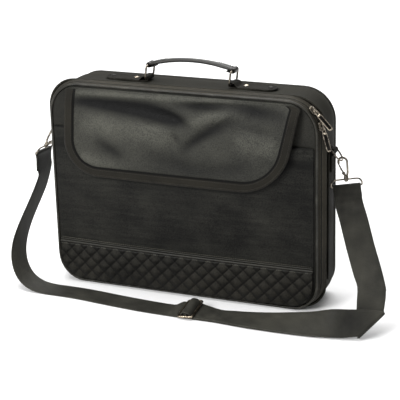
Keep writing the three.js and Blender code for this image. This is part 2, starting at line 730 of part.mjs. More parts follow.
/** Directions and points of one side's hardware, worked out from its leans. */
function sideFrame({ side, ringLean, hookLean, loopTurn }) {
  const ringDown = vec(side * Math.sin(rad(ringLean)), 0, -Math.cos(rad(ringLean)));
  const eye = vec(side * sideEyeX, SIDE_OFFSET_Y, sideEyeZ);
  const ringLow = eye.clone().addScaledVector(ringDown, SIDE_RING_LENGTH);
  const down = vec(side * Math.sin(rad(hookLean)), 0, -Math.cos(rad(hookLean)));
  const out = vec(side * Math.cos(rad(hookLean)), 0, Math.sin(rad(hookLean)));
  const level = X.clone().multiplyScalar(Math.cos(rad(loopTurn)))
    .addScaledVector(Y, Math.sin(rad(loopTurn)));
  const bar = level.clone().addScaledVector(down, -level.dot(down)).normalize();
  const at = (p, q) => ringLow.clone().addScaledVector(out, p).addScaledVector(down, q);
  return { ringDown, eye, ringLow, down, out, bar, at };
}

function makeSideStrip(side) {
  const half = SIDE_STRIP_WIDTH / 2;
  const nib = half * 0.5;
  const shape = [
    [-half, BASE_CORNER_RADIUS], [half, BASE_CORNER_RADIUS], [half, SIDE_STRIP_HEIGHT - nib],
    [half - nib, SIDE_STRIP_HEIGHT], [nib - half, SIDE_STRIP_HEIGHT], [-half, SIDE_STRIP_HEIGHT - nib],
  ];
  const plate = slab(shape, [], Y, Z, X, stripFace, stripFace + SIDE_STRIP_WALL);
  plate.translate(0, SIDE_OFFSET_Y, 0);
  if (side < 0) plate.rotateZ(Math.PI).translate(0, 2 * SIDE_OFFSET_Y, 0);
  return plate;
}

function makeSideTab(side, frame) {
  const low = sideEyeZ - SIDE_TAB_HEIGHT;
  const faces = [side * tabBase, side * (tabBase + SIDE_TAB_WALL)].sort((a, b) => a - b);
  const plate = slab(
    [[faces[0], low], [faces[1], low], [faces[1], sideEyeZ], [faces[0], sideEyeZ]],
    [], X, Z, Y.clone().negate(), -SIDE_TAB_WIDTH / 2, SIDE_TAB_WIDTH / 2,
  );
  const eye = slab(
    circlePoints(frame.eye.x, sideEyeZ, sideEyeRadius, 14), [], X, Z, Y.clone().negate(),
    -SIDE_TAB_WIDTH / 2, SIDE_TAB_WIDTH / 2,
  );
  const bore = slab(
    circlePoints(frame.eye.x, sideEyeZ, sideEyeBore, 12), [], X, Z, Y.clone().negate(),
    -SIDE_TAB_WIDTH, SIDE_TAB_WIDTH,
  );
  const tab = cut(join(plate, eye), bore);
  tab.translate(0, SIDE_OFFSET_Y, 0);
  return tab;
}

function makeSideRing(frame) {
  const half = (SIDE_RING_WIDTH - SIDE_RING_WIRE) / 2;
  const { eye, ringDown } = frame;
  const point = (y, share) => eye.clone()
    .addScaledVector(Y, y)
    .addScaledVector(ringDown, share * SIDE_RING_LENGTH);
  const path = [
    point(-half + 1, 0), point(half - 1, 0), point(half, 0.08), point(half, 0.5),
    point(half * 0.8, 0.8), point(half * 0.35, 1), point(-half * 0.35, 1), point(-half * 0.8, 0.8),
    point(-half, 0.5), point(-half, 0.08),
  ];
  return wire(path, sideRingRadius, Y.clone().cross(ringDown).normalize(), { closed: true });
}

const bowCentre = { p: 1.2, q: 2.6 };
const bossTop = HOOK_LENGTH - 1.5;
const bossEnd = HOOK_LENGTH + 1;
const collarTop = bossEnd + SEAM_GAP;
const collarEnd = collarTop + 3.4;
const loopTopBar = (collarTop + collarEnd) / 2;
const gatePivot = { p: 1.4, q: bossTop - 3.9 };
const spineP = bowCentre.p + HOOK_BOW_RADIUS;
const swivelP = 4.6;
const gatePin = { radius: 1.1, half: 2.6 };
const gateBarrel = { radius: 2.3, half: 0.8 };
const gateFork = { radius: 0.9, off: 2.1 };

function makeHookBody(frame) {
  const { at, down } = frame;
  const bow = Array.from({ length: 9 }, (_, i) => {
    const angle = rad(lerp(195, 0, i / 8));
    const [p, q] = [HOOK_BOW_RADIUS * Math.cos(angle), -HOOK_BOW_RADIUS * Math.sin(angle)];
    return at(bowCentre.p + p, bowCentre.q + q);
  });
  const spine = [
    at(spineP, HOOK_LENGTH * 0.45), at(spineP - 0.3, HOOK_LENGTH * 0.75), at(swivelP + 0.6, HOOK_LENGTH),
  ];
  const body = wire([...bow, ...spine], hookRadius, Y);
  const boss = post(at(swivelP, 0), SWIVEL_RADIUS, down, bossTop, bossEnd);
  const pin = post(at(swivelP, 0), SWIVEL_PIN_RADIUS, down, bossTop, collarEnd + 2 * SEAM_GAP, 8);
  const head = post(at(swivelP, 0), SWIVEL_RADIUS * 0.72, down, collarEnd + SEAM_GAP, collarEnd + 1.5, 10);
  const ear = post(at(gatePivot.p, gatePivot.q), gatePin.radius, Y, -gatePin.half, gatePin.half, 8);
  const earBridge = wire(
    [at(gatePivot.p, gatePivot.q), at(swivelP, bossTop + 1)], gateFork.radius, Y,
  );
  const fork = [-1, 1].map((s) => {
    const arm = earBridge.clone();
    arm.translate(0, s * gateFork.off, 0);
    return arm;
  });
  return join(body, boss, pin, head, ear, ...fork);
}

function makeGate(frame) {
  const { at } = frame;
  const tip = at(bowCentre.p + HOOK_BOW_RADIUS * Math.cos(rad(195)), bowCentre.q + 3.6);
  const pivot = at(gatePivot.p, gatePivot.q);
  const gap = tip.clone().sub(pivot).normalize();
  const bar = wire([pivot.clone().addScaledVector(gap, 1.6), tip], GATE_WIRE / 2, Y);
  const barrel = post(pivot, gateBarrel.radius, Y, -gateBarrel.half, gateBarrel.half, 10);
  const bore = post(pivot, gatePin.radius + SEAM_GAP, Y, -gatePin.half, gatePin.half, 10);
  return cut(join(bar, barrel), bore);
}

function makeStrapLoop(frame) {
  const { at, bar, down } = frame;
  const centre = at(swivelP, 0);
  const wide = STRAP_WIDTH / 2 + 2 * LINK_GAP + LOOP_WIRE / 2;
  const point = (x, q) => centre.clone().addScaledVector(bar, x).addScaledVector(down, q);
  const low = loopTopBar + LOOP_HEIGHT;
  const path = [
    point(-wide * 0.72, loopTopBar), point(-wide * 0.1, loopTopBar), point(wide * 0.1, loopTopBar),
    point(wide * 0.72, loopTopBar), point(wide * 0.86, loopTopBar + 1), point(wide, low - 5),
    point(wide, low - 1), point(wide * 0.96, low), point(-wide * 0.96, low), point(-wide, low - 1),
    point(-wide, low - 5), point(-wide * 0.86, loopTopBar + 1),
  ];
  const loop = wire(path, LOOP_WIRE / 2, bar.clone().cross(down).normalize(), { closed: true });
  const collar = post(centre, SWIVEL_RADIUS, down, collarTop, collarEnd);
  const bore = post(centre, SWIVEL_PIN_RADIUS + SEAM_GAP, down, collarTop - 2, collarEnd + 2, 10);
  return cut(join(loop, collar), bore);
}

const frames = {};
for (const [name, place] of Object.entries(SIDES)) {
  const frame = sideFrame(place);
  frames[name] = frame;
  add(`side_strip_${name}`, makeSideStrip(place.side), 'leather');
  add(`side_tab_${name}`, makeSideTab(place.side, frame), 'leather');
  add(`side_ring_${name}`, makeSideRing(frame), 'metal');
  add(`hook_body_${name}`, makeHookBody(frame), 'metal');
  add(`hook_gate_${name}`, makeGate(frame), 'metal');
  add(`strap_loop_${name}`, makeStrapLoop(frame), 'metal');
}

// Shoulder strap: one ribbon. It starts as a stitched tail on the left loop, drops to the floor, runs
// along the front through the buckle, folds flat at the lower right, climbs to the right loop, turns
// round its bar and comes back as a second layer behind the first to the buckle's middle bar.

const strapHalf = STRAP_WIDTH / 2;
const layerOffset = (STRAP_WALL + STRAP_LAYER_GAP) / 2;
const singleZ = SEAM_GAP + STRAP_WALL / 2;
const doubleLift = SEAM_GAP + STRAP_WALL + STRAP_LAYER_GAP / 2;
const halfCase = CASE_WIDTH / 2;
const buckleX = halfCase * 0.175;
const buckleReach = (BUCKLE_LENGTH - BUCKLE_WIRE) / 2;
const buckleLowBar = singleZ + (STRAP_WALL + BUCKLE_WIRE) / 2 + LINK_GAP;
const buckleHighBar = buckleLowBar + STRAP_WALL + STRAP_LAYER_GAP;

// Left drop, from the loop to the floor: places of the ribbon's middle, as shares of half the case
// width, the case depth and the case height.
const LEFT_DROP = [
  { x: -1.212, y: 0.0, z: 0.455 },
  { x: -1.228, y: -0.13, z: 0.4 },
  { x: -1.248, y: -0.28, z: 0.343 },
  { x: -1.266, y: -0.44, z: 0.286 },
  { x: -1.276, y: -0.59, z: 0.233 },
  { x: -1.275, y: -0.73, z: 0.183 },
  { x: -1.259, y: -0.85, z: 0.136 },
  { x: -1.23, y: -0.94, z: 0.094 },
  { x: -1.185, y: -1.01, z: 0.056 },
  { x: -1.125, y: -1.06, z: 0.028 },
  { x: -1.05, y: -1.09, z: 0.0115 },
];

// Front run on the floor: the near edge's place and the bank of the ribbon about it, in degrees.
const FRONT_SINGLE = [
  { x: -0.955, edge: -1.33, bank: 0 },
  { x: -0.84, edge: -1.33, bank: 0 },
  { x: -0.67, edge: -1.345, bank: 0 },
  { x: -0.415, edge: -1.42, bank: 0 },
  { x: -0.175, edge: -1.475, bank: 0 },
  { x: 0.0, edge: -1.49, bank: 0 },
];
const FRONT_DOUBLE = [
  { x: 0.36, edge: -1.49, bank: 0 },
  { x: 0.45, edge: -1.5, bank: 2 },
  { x: 0.585, edge: -1.53, bank: 7 },
  { x: 0.75, edge: -1.54, bank: 14 },
  { x: 0.9, edge: -1.535, bank: 23 },
  { x: 1.05, edge: -1.515, bank: 34 },
];
const FOLD = { x: 1.375, edge: -1.4, heading: 9, rise: 3.5, bank: 56 };

// Rows before and after the fold: run from its middle, in strap widths, and skew of the section.
const FOLD_IN = [{ run: -1.368, skew: 0 }, { run: -0.947, skew: 0.4 }, { run: -0.526, skew: 0.8 }];
const FOLD_OUT = [{ run: 0.526, skew: 0.8 }, { run: 0.947, skew: 0.4 }, { run: 1.316, skew: 0 }];

// Length that the strap is doubled below each loop's bar, in strap widths.
const TAIL = { left: 0.71, right: 0.395 };

// Over the buckle: run along the strap and height, both from the middle bar, in wire radii, and tip
// of the ribbon's rear edge as a share of the buckle's tip.
const BUCKLE_HUMP = [
  { run: -18, rise: -2.53, tip: 0.3 },
  { run: -14.5, rise: -2.53, tip: 0.8 },
  { run: -10.7, rise: -2.53, tip: 1.15 },
  { run: -7.3, rise: -2.53, tip: 1 },
  { run: -5.7, rise: -1.9, tip: 1 },
  { run: -4.9, rise: -0.4, tip: 1 },
  { run: -4.3, rise: 1.2, tip: 1 },
  { run: -3.2, rise: 2.6, tip: 1 },
  { run: -1.6, rise: 3.25, tip: 1 },
  { run: 0, rise: 3.4, tip: 1 },
  { run: 1.6, rise: 3.25, tip: 1 },
  { run: 3.2, rise: 2.6, tip: 1 },
  { run: 4.3, rise: 1.3, tip: 1 },
  { run: 5.0, rise: 0.1, tip: 1 },
  { run: 5.7, rise: -0.9, tip: 1 },
  { run: 7.2, rise: -1.27, tip: 1 },
  { run: 10.7, rise: -1.27, tip: 0.7 },
];

// Right climb, from the fold to the right loop: as the left drop, with the turn of the ribbon's
// width from X towards Y in degrees.
const RIGHT_CLIMB = [
  { x: 1.375, y: -0.72, z: 0.257, turn: 6 },
  { x: 1.3, y: -0.5, z: 0.345, turn: 12 },
  { x: 1.225, y: -0.26, z: 0.44, turn: 20 },
  { x: 1.165, y: -0.07, z: 0.505, turn: 25 },
];

const buckleCentre = vec(
  buckleX, FRONT_SINGLE.at(-1).edge * CASE_DEPTH + strapHalf, (buckleLowBar + buckleHighBar) / 2,
);

// The buckle lies tipped about the strap's near edge, with its rear end off the floor.
const tipLine = vec(0, FRONT_SINGLE.at(-1).edge * CASE_DEPTH, 0);
const tipWay = (share = 1) => Y.clone().applyAxisAngle(X, rad(share * BUCKLE_TIP));
const tipped = (p, share = 1) => p.clone().sub(tipLine)
  .applyAxisAngle(X, rad(share * BUCKLE_TIP))
  .add(tipLine);

/** One cross-section: its middle, half its width as a vector, and the way its face points. */
function section(middle, along, width, off = 0, skew = 0) {
  const flat = width.clone().addScaledVector(along, -width.dot(along)).normalize();
  const face = along.clone().cross(flat).normalize();
  const half = flat.multiplyScalar(strapHalf).addScaledVector(along, skew * strapHalf);
  return { middle: middle.clone().addScaledVector(face, off), half, face };
}

function alongAt(points, i) {
  return points[Math.min(i + 1, points.length - 1)].clone().sub(points[Math.max(i - 1, 0)]).normalize();
}

/** The same place on the layer behind, met on the way back. */
function returned({ middle, half, face }) {
  return {
    middle: middle.clone().addScaledVector(face, -2 * layerOffset),
    half: half.clone(),
    face: face.clone().negate(),
  };
}

/** Turn round a bar: up one side, over, and down the other, in the plane of up and the side. */
function wrap(centre, barWay, upWay, reach) {
  const width = barWay.clone();
  const up = upWay.clone().addScaledVector(width, -upWay.dot(width)).normalize();
  const side = up.clone().cross(width).normalize();
  const radius = LOOP_WIRE / 2 + LINK_GAP + STRAP_WALL / 2;
  const at = (b, a, face) => ({
    middle: centre.clone().addScaledVector(side, b).addScaledVector(up, a),
    half: width.clone().multiplyScalar(strapHalf),
    face,
  });
  const neck = 2.6 * radius;
  const leg = (sign) => [reach, (reach + neck) / 2, neck]
    .map((drop) => at(sign * layerOffset, -drop, side.clone().multiplyScalar(sign)));
  const turn = Array.from({ length: 9 }, (_, i) => {
    const angle = rad(lerp(-25, 205, i / 8));
    const face = side.clone().multiplyScalar(Math.cos(angle)).addScaledVector(up, Math.sin(angle));
    return at(radius * Math.cos(angle), radius * Math.sin(angle), face);
  });
  return [...leg(1), ...turn, ...leg(-1).reverse()];
}

function strapSections() {
  const share = ({ x, y, z }) => vec(x * halfCase, y * CASE_DEPTH, z * CASE_HEIGHT);
  const edgePoint = ({ x, edge, bank }, lift) => {
    const b = rad(bank);
    const low = vec(x * halfCase, edge * CASE_DEPTH, SEAM_GAP + lift * Math.cos(b));
    return low.add(vec(0, strapHalf * Math.cos(b), strapHalf * Math.sin(b)));
  };
  const loopBar = (frame) => frame.at(swivelP, loopTopBar + LOOP_HEIGHT);

  // Left loop and drop
  const leftBar = loopBar(frames.left);
  const drop = LEFT_DROP.map(share);
  const leftWay = leftBar.clone().sub(drop[0]).normalize();
  const leftWrap = wrap(leftBar, frames.left.bar, leftWay, TAIL.left * STRAP_WIDTH);
  const floor = FRONT_SINGLE.map((row) => edgePoint(row, STRAP_WALL / 2));
  const hump = BUCKLE_HUMP.map(({ run, rise, tip }) => tipped(
    buckleCentre.clone().add(vec((run * BUCKLE_WIRE) / 2, 0, (rise * BUCKLE_WIRE) / 2)), tip,
  ));
  const single = [...drop, ...floor, ...hump];
  const singleSections = single.map((p, i) => {
    const row = BUCKLE_HUMP[i - drop.length - floor.length];
    return section(p, alongAt(single, i), row ? tipWay(row.tip) : Y);
  });

  // Front run in two layers, up to the fold
  const heading = vec(Math.cos(rad(FOLD.heading)), Math.sin(rad(FOLD.heading)), 0);
  const foldAlong = heading.multiplyScalar(Math.cos(rad(FOLD.rise))).add(vec(0, 0, Math.sin(rad(FOLD.rise))));
  const level = Z.clone().cross(foldAlong).normalize();
  const foldWidth = level.clone().multiplyScalar(Math.cos(rad(FOLD.bank)))
    .addScaledVector(foldAlong.clone().cross(level), Math.sin(rad(FOLD.bank)));
  const foldFace = foldAlong.clone().cross(foldWidth);
  const crease = foldAlong.clone().add(foldWidth).normalize();
  const outward = foldAlong.clone().sub(foldWidth).normalize();
  const foldRadius = layerOffset + STRAP_WALL / 2 + SEAM_GAP;
  const outerRadius = foldRadius + layerOffset + STRAP_WALL / 2;
  const sag = foldRadius * foldFace.z + outerRadius * Math.hypot(foldFace.z, outward.z);
  const foldLow = vec(FOLD.x * halfCase, FOLD.edge * CASE_DEPTH, SEAM_GAP + sag);
  const foldMiddle = foldLow.clone().addScaledVector(foldAlong.clone().add(foldWidth), strapHalf);
  const foldIn = FOLD_IN.map(({ run, skew }) => section(
    foldMiddle.clone().addScaledVector(foldAlong, run * STRAP_WIDTH),
    foldAlong, foldWidth, layerOffset, skew,
  ));
  const front = FRONT_DOUBLE.map((row) => edgePoint(row, doubleLift));
  const guide = [...front, foldMiddle.clone().addScaledVector(foldAlong, FOLD_IN[0].run * STRAP_WIDTH)];
  const frontSections = front.map((p, i) => {
    const b = rad(FRONT_DOUBLE[i].bank);
    return section(p, alongAt(guide, i), vec(0, Math.cos(b), Math.sin(b)), layerOffset);
  });

  // The flat fold: a half turn about the crease, which runs at 45 degrees to both runs
  const hub = foldMiddle.clone().addScaledVector(foldFace, -foldRadius);
  const turn = Array.from({ length: 7 }, (_, i) => {
    const angle = (Math.PI * i) / 6;
    const face = foldFace.clone().multiplyScalar(Math.cos(angle)).addScaledVector(outward, Math.sin(angle));
    return {
      middle: hub.clone().addScaledVector(face, foldRadius + layerOffset),
      half: crease.clone().multiplyScalar(strapHalf * Math.SQRT2),
      face,
    };
  });

  // Climb to the right loop
  const foldBack = foldMiddle.clone().addScaledVector(foldFace, -2 * foldRadius);
  const foldOut = FOLD_OUT.map(({ run, skew }) => section(
    foldBack.clone().addScaledVector(foldWidth, run * STRAP_WIDTH),
    foldWidth, foldAlong, layerOffset, skew,
  ));
  const rightBar = loopBar(frames.right);
  const climb = RIGHT_CLIMB.map(share);
  const foldEnd = foldBack.clone().addScaledVector(foldWidth, FOLD_OUT.at(-1).run * STRAP_WIDTH);
  const climbGuide = [foldEnd, ...climb, rightBar];
  const climbSections = climb.map((p, i) => {
    const turnAngle = rad(RIGHT_CLIMB[i].turn);
    const width = vec(Math.cos(turnAngle), Math.sin(turnAngle), 0);
    return section(p, alongAt(climbGuide, i + 1), width, layerOffset);
  });
  const rightWay = rightBar.clone().sub(climb.at(-1)).normalize();
  const rightWrap = wrap(rightBar, frames.right.bar, rightWay, TAIL.right * STRAP_WIDTH);

  const doubled = [...frontSections, ...foldIn, ...turn, ...foldOut, ...climbSections];
  const back = doubled.map(returned).reverse();

  // The second layer's end, round the buckle's middle bar
  const endRadius = BUCKLE_WIRE / 2 + LINK_GAP + STRAP_WALL / 2;
  const endTurn = Array.from({ length: 7 }, (_, i) => {
    const angle = rad(lerp(280, 40, i / 6));
    const face = vec(Math.cos(angle), 0, Math.sin(angle));
    return {
      middle: tipped(buckleCentre.clone().addScaledVector(face, endRadius)),
      half: tipWay().multiplyScalar(strapHalf),
      face: face.applyAxisAngle(X, rad(BUCKLE_TIP)),
    };
  });
  const endRun = BUCKLE_HUMP.slice(-2).reverse().map(({ run, tip }) => ({
    middle: tipped(buckleCentre.clone().setX(buckleX + (run * BUCKLE_WIRE) / 2).setZ(singleZ), tip),
    half: tipWay(tip).multiplyScalar(strapHalf),
    face: vec(0, 0, -1).applyAxisAngle(X, rad(tip * BUCKLE_TIP)),
  }));
  return [...leftWrap, ...singleSections, ...doubled, ...rightWrap, ...back, ...endRun, ...endTurn];
}

function makeStrap() {
  const rings = strapSections().map(({ middle, half, face }) => [[1, 1], [-1, 1], [-1, -1], [1, -1]]
    .map(([a, b]) => middle.clone()
      .addScaledVector(half, a)
      .addScaledVector(face, (b * STRAP_WALL) / 2)));
  return loft(rings);
}

/** Three-bar buckle: a frame round the strap, tipped up over the second layer, and a middle bar. */
function makeBuckle() {
  const run = vec(2 * buckleReach, 0, buckleHighBar - buckleLowBar).normalize();
  const width = STRAP_WIDTH + 3 * LINK_GAP + BUCKLE_WIRE;
  const frame = wire(
    roundLoop(buckleCentre, 2 * buckleReach, width, BUCKLE_WIRE, 2, run, Y),
    BUCKLE_WIRE / 2, run.clone().cross(Y).normalize(), { closed: true },
  );
  const ends = [-1, 1].map((s) => buckleCentre.clone().addScaledVector(Y, (s * width) / 2));
  const bar = wire(ends, BUCKLE_WIRE / 2, Z);
  const buckle = join(frame, bar);
  buckle.translate(0, -tipLine.y, 0).rotateX(rad(BUCKLE_TIP)).translate(0, tipLine.y, 0);
  return buckle;
}

add('shoulder_strap', makeStrap(), 'strap');
add('strap_buckle', makeBuckle(), 'metal');

// Zip sliders and pulls, at the upper right corner of the zip band

const bandFrontY = FRONT_Y + FRONT_PIPING_RADIUS + SEAM_GAP;
const bandBackY = RIM_Y - SEAM_GAP;

/** Place and directions on the band's outer face at this angle round the upper right corner. */
function bandFrame(degrees) {
  const edge = (y, halfWidth, top, angle) => {
    const radius = TOP_CORNER_RADIUS + halfWidth - pipingHalfWidth;
    return vec(
      halfWidth - radius + radius * Math.cos(angle), y, top - radius + radius * Math.sin(angle),
    );
  };
  const pair = (angle) => [
    edge(bandFrontY, pipingHalfWidth, pipingTop, angle),
    edge(bandBackY, rimHalfWidth - SEAM_GAP, rimTop - SEAM_GAP, angle),
  ];
  const middle = (angle) => pair(angle)[0].add(pair(angle)[1]).multiplyScalar(0.5);
  const angle = rad(degrees);
  const along = middle(angle - 0.01).sub(middle(angle + 0.01)).normalize();
  const [low, high] = pair(angle);
  const face = high.sub(low).cross(along).normalize();
  if (face.x < 0) face.negate();
  const across = face.clone().cross(along).normalize();
  return { origin: middle(angle), along, across, face };
}

const pullPivot = { along: 1.2, face: SEAM_GAP + SLIDER_HEIGHT + 1.6 };

function makeSlider({ origin, along, across, face }) {
  const half = SLIDER_LENGTH / 2;
  const wide = SLIDER_WIDTH / 2;
  const plan = [
    [-half, -wide * 0.7], [-half * 0.3, -wide], [half * 0.6, -wide], [half, -wide * 0.5],
    [half, wide * 0.5], [half * 0.6, wide], [-half * 0.3, wide], [-half, wide * 0.7],
  ];
  const body = slab(plan, [], along, across, face.clone(), SEAM_GAP, SEAM_GAP + SLIDER_HEIGHT, origin);
  const base = SEAM_GAP + SLIDER_HEIGHT - 0.4;
  const foot = BRIDGE_LENGTH / 2;
  const leg = foot - BRIDGE_WALL;
  const under = pullPivot.face + 1.4;
  const crown = under + 1.2;
  const bridge = [
    [-foot, base], [-leg, base], [-leg, under], [leg, under], [leg, base], [foot, base],
    [foot, crown - 1], [foot - 1.3, crown], [1.3 - foot, crown], [-foot, crown - 1],
  ];
  const thick = BRIDGE_WIDTH / 2;
  return join(body, slab(bridge, [], along, face, across.clone().negate(), -thick, thick, origin));
}

function makePull({ origin, along, across, face }) {
  const half = PULL_WIDTH / 2;
  const neck = half * 0.75;
  const nib = 1.5;
  const start = pullPivot.along - PULL_WALL / 2;
  const end = start + PULL_LENGTH;
  const shoulder = start + PULL_NECK;
  const plate = [
    [start, -neck], [shoulder, -neck], [shoulder + 2, -half], [end - nib, -half], [end, nib - half],
    [end, half - nib], [end - nib, half], [shoulder + 2, half], [shoulder, neck], [start, neck],
  ];
  const eyeHalf = BRIDGE_WIDTH / 2 + 0.7;
  const eyeEnd = shoulder - 0.8;
  const eye = [
    [start + PULL_WALL, -eyeHalf], [eyeEnd, -eyeHalf], [eyeEnd, eyeHalf], [start + PULL_WALL, eyeHalf],
  ];
  const border = half - 2;
  const window = [
    [shoulder + 4, -border], [end - 3.5, -border], [end - 3.5, border], [shoulder + 4, border],
  ];
  const level = pullPivot.face - PULL_WALL / 2;
  const frame = slab(plate, [eye], along, across, face, level, level + PULL_WALL, origin);
  const floor = level + PULL_WALL * 0.65;
  const recess = slab(window, [], along, across, face, floor, level + 2 * PULL_WALL, origin);
  return cut(frame, recess);
}

for (const [name, degrees] of Object.entries(SLIDER_ANGLES)) {
  const frame = bandFrame(degrees);
  add(`zip_slider_${name}`, makeSlider(frame), 'metal');
  add(`zip_pull_${name}`, makePull(frame), 'metal');
}

export default part;
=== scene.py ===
"""Soft zipped case for a prayer shawl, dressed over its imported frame.

All lengths in this script are millimetres until a mesh is filled, where MM turns them into metres.
X runs along the width, the front faces -Y and Z is up, as in the frame.
"""

import bpy
import numpy as np
from mathutils import Matrix, Vector


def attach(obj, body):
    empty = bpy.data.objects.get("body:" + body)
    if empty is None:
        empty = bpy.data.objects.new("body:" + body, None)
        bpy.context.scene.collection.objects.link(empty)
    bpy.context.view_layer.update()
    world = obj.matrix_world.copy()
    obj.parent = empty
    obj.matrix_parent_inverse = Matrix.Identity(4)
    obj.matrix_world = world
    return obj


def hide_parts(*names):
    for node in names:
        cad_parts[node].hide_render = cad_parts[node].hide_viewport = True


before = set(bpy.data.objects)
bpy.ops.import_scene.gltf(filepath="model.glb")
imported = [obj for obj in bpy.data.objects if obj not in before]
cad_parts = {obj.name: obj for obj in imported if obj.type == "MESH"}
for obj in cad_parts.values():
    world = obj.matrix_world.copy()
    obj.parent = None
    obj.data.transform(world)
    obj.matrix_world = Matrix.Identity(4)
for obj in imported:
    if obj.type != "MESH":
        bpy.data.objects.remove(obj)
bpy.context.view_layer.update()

MM = 0.001
X = np.array([1.0, 0.0, 0.0])
Y = np.array([0.0, 1.0, 0.0])
Z = np.array([0.0, 0.0, 1.0])

# Clearances and sizes, as in the frame
SEAM_GAP = 0.3
LINK_GAP = 0.5
HALF_CASE = 200.0
CASE_HEIGHT = 300.0
CASE_DEPTH = 80.0
FRONT_Y = -40.0
BACK_Y = 40.0
RIM_Y = -26.8
TOP_RADIUS = 44.0
BASE_RADIUS = 38.0
CASE_WALL = 2.4
BACK_HALF = 198.6
BACK_TOP = 298.6
RIM_HALF = 208.0
RIM_TOP = 303.2
PIPING_HALF = 198.3
PIPING_TOP = 298.3
PIPING_BOTTOM = 2.0
PIPING_RADIUS = 1.7
BACK_PIPING_RADIUS = 1.4
PANEL_HALF = 196.3
PANEL_TOP = 296.3
PANEL_BOTTOM = 4.0
PANEL_TOP_RADIUS = 42.3
PANEL_BASE_RADIUS = 36.3
POCKET_HEIGHT = 236.0
POCKET_WALL = 1.8
POCKET_BULGE = 6.0
QUILT_HEIGHT = 60.0
QUILT_WALL = 2.0
QUILT_RELIEF = 1.4
QUILT_COUNT = 19
FLAP_TOP = 292.3
FLAP_LENGTH = 122.5
FLAP_BOTTOM = FLAP_TOP - FLAP_LENGTH
FLAP_WIDTH = 347.0
FLAP_HALF = FLAP_WIDTH / 2
FLAP_SHARE = {-1: 0.49, 1: 0.51}
FLAP_LEAN = {-1: 0.029, 1: -0.212}
FLAP_CORNER = {-1: 51.5, 1: 59.5}
FLAP_WALL = 2.2
FLAP_BULGE = 14.0
BINDING_WIDTH = 14.0
BINDING_WALL = 1.3
HANDLE_SPAN = 126.0
HANDLE_Y = 4.0
HANDLE_ARCH = 9.0
TAB_FLOOR = 300.74
TAB_LENGTH = 66.0
TAB_WIDTH = 25.0
TAB_WALL = 2.4
RING_FOOT_Z = 305.04
RING_HEIGHT = 19.0
RING_WIDTH = 31.0
RING_WIRE = 1.4
RING_LEAN = np.radians(8)
STRIP_FACE = 202.66
STRIP_TOP = 226.0
STRIP_HALF = 13.0
STRIP_WALL = 1.6
SIDE_Y = 6.0
SIDE_EYE_X = 208.26
SIDE_EYE_Z = 222.3
SIDE_RING_DROP = 17.0
HOOK_WIRE = 1.2
STRAP_WIDTH = 38.0
STRAP_HALF = STRAP_WIDTH / 2
STRAP_WALL = 1.6
LAYER_OFFSET = 0.95
FLOOR_GAP = 0.05
SIDE_NAME = {-1: "left", 1: "right"}


# Small vector tools

def dot(a, b):
    """Product of each pair of rows, summed."""
    return np.sum(a * b, axis=-1, keepdims=True)


def unit(v):
    """Each row brought to length one."""
    return v / np.maximum(np.linalg.norm(v, axis=-1, keepdims=True), 1e-12)


def lerp(a, b, t):
    """Straight blend from a to b by the share t."""
    return a + (b - a) * t


def tangents(path, closed=False):
    """Direction at each point: towards the next point from the one before."""
    if closed:
        return unit(np.roll(path, -1, 0) - np.roll(path, 1, 0))
    padded = np.concatenate([path[:1], path, path[-1:]])
    return unit(padded[2:] - padded[:-2])


def smooth(path, per, closed=False):
    """Catmull-Rom curve through the rows, with the given number of steps for each span."""
    path = np.asarray(path, float)
    n = len(path)
    if closed:
        p = np.concatenate([path[-1:], path, path[:2]])
        spans = n
    else:
        p = np.concatenate([2 * path[:1] - path[1:2], path, 2 * path[-1:] - path[-2:-1]])
        spans = n - 1
    t = (np.arange(per) / per).reshape((1, per) + (1,) * (path.ndim - 1))
    a, b, c, d = (p[i:i + spans][:, None] for i in range(4))
    rows = 0.5 * (2 * b + (c - a) * t + (2 * a - 5 * b + 4 * c - d) * t ** 2
                  + (3 * b - a - 3 * c + d) * t ** 3)
    rows = rows.reshape((-1,) + path.shape[1:])
    return rows if closed else np.concatenate([rows, path[-1:]])


def arc_length(path, closed=False):
    """Distance along the path at each point, and its whole length."""
    ends = np.concatenate([path, path[:1]]) if closed else path
    steps = np.linalg.norm(np.diff(ends, axis=0), axis=-1)
    s = np.concatenate([[0], np.cumsum(steps)])
    return (s[:-1] if closed else s), s[-1]


def even(path, step, closed=False):
    """The same path with points at one even spacing."""
    s, total = arc_length(path, closed)
    ends = np.concatenate([path, path[:1]]) if closed else path
    s = np.append(s, total) if closed else s
    count = max(int(round(total / step)), 2)
    at = np.arange(count) * total / count if closed else np.linspace(0, total, count + 1)
    return np.stack([np.interp(at, s, ends[:, k]) for k in range(ends.shape[1])], axis=1)


def softened(corners, steps, rounds):
    """Closed outline with soft corners: even steps along each side, then each point averaged with
    its neighbours, round after round."""
    t = np.linspace(0, 1, steps + 1)[:-1, None]
    dense = np.concatenate([lerp(a, b, t) for a, b in zip(corners, np.roll(corners, -1, 0))])
    for _ in range(rounds):
        dense = (np.roll(dense, 1, 0) + 2 * dense + np.roll(dense, -1, 0)) / 4
    return dense


def ripple(s, seed, scale):
    """Smooth uneven wave along s: five sines whose lengths and phases come from the seed."""
    draw = np.random.default_rng(seed)
    rates = draw.uniform(0.5, 2.2, 5) / scale
    phases = draw.uniform(0, 2 * np.pi, 5)
    weights = draw.uniform(0.5, 1.0, 5)
    total = sum(w * np.sin(2 * np.pi * r * s + p) for w, r, p in zip(weights, rates, phases))
    return total / weights.sum()


# Meshes

def outward(points, groups):
    """The same groups of faces, turned round if the volume that they close comes out negative."""
    volume = 0.0
    for f in groups:
        for k in range(1, f.shape[1] - 1):
            a, b, c = (points[f[:, i]] for i in (0, k, k + 1))
            volume += np.sum(a * np.cross(b, c))
    return [f[:, ::-1] for f in groups] if volume < 0 else groups


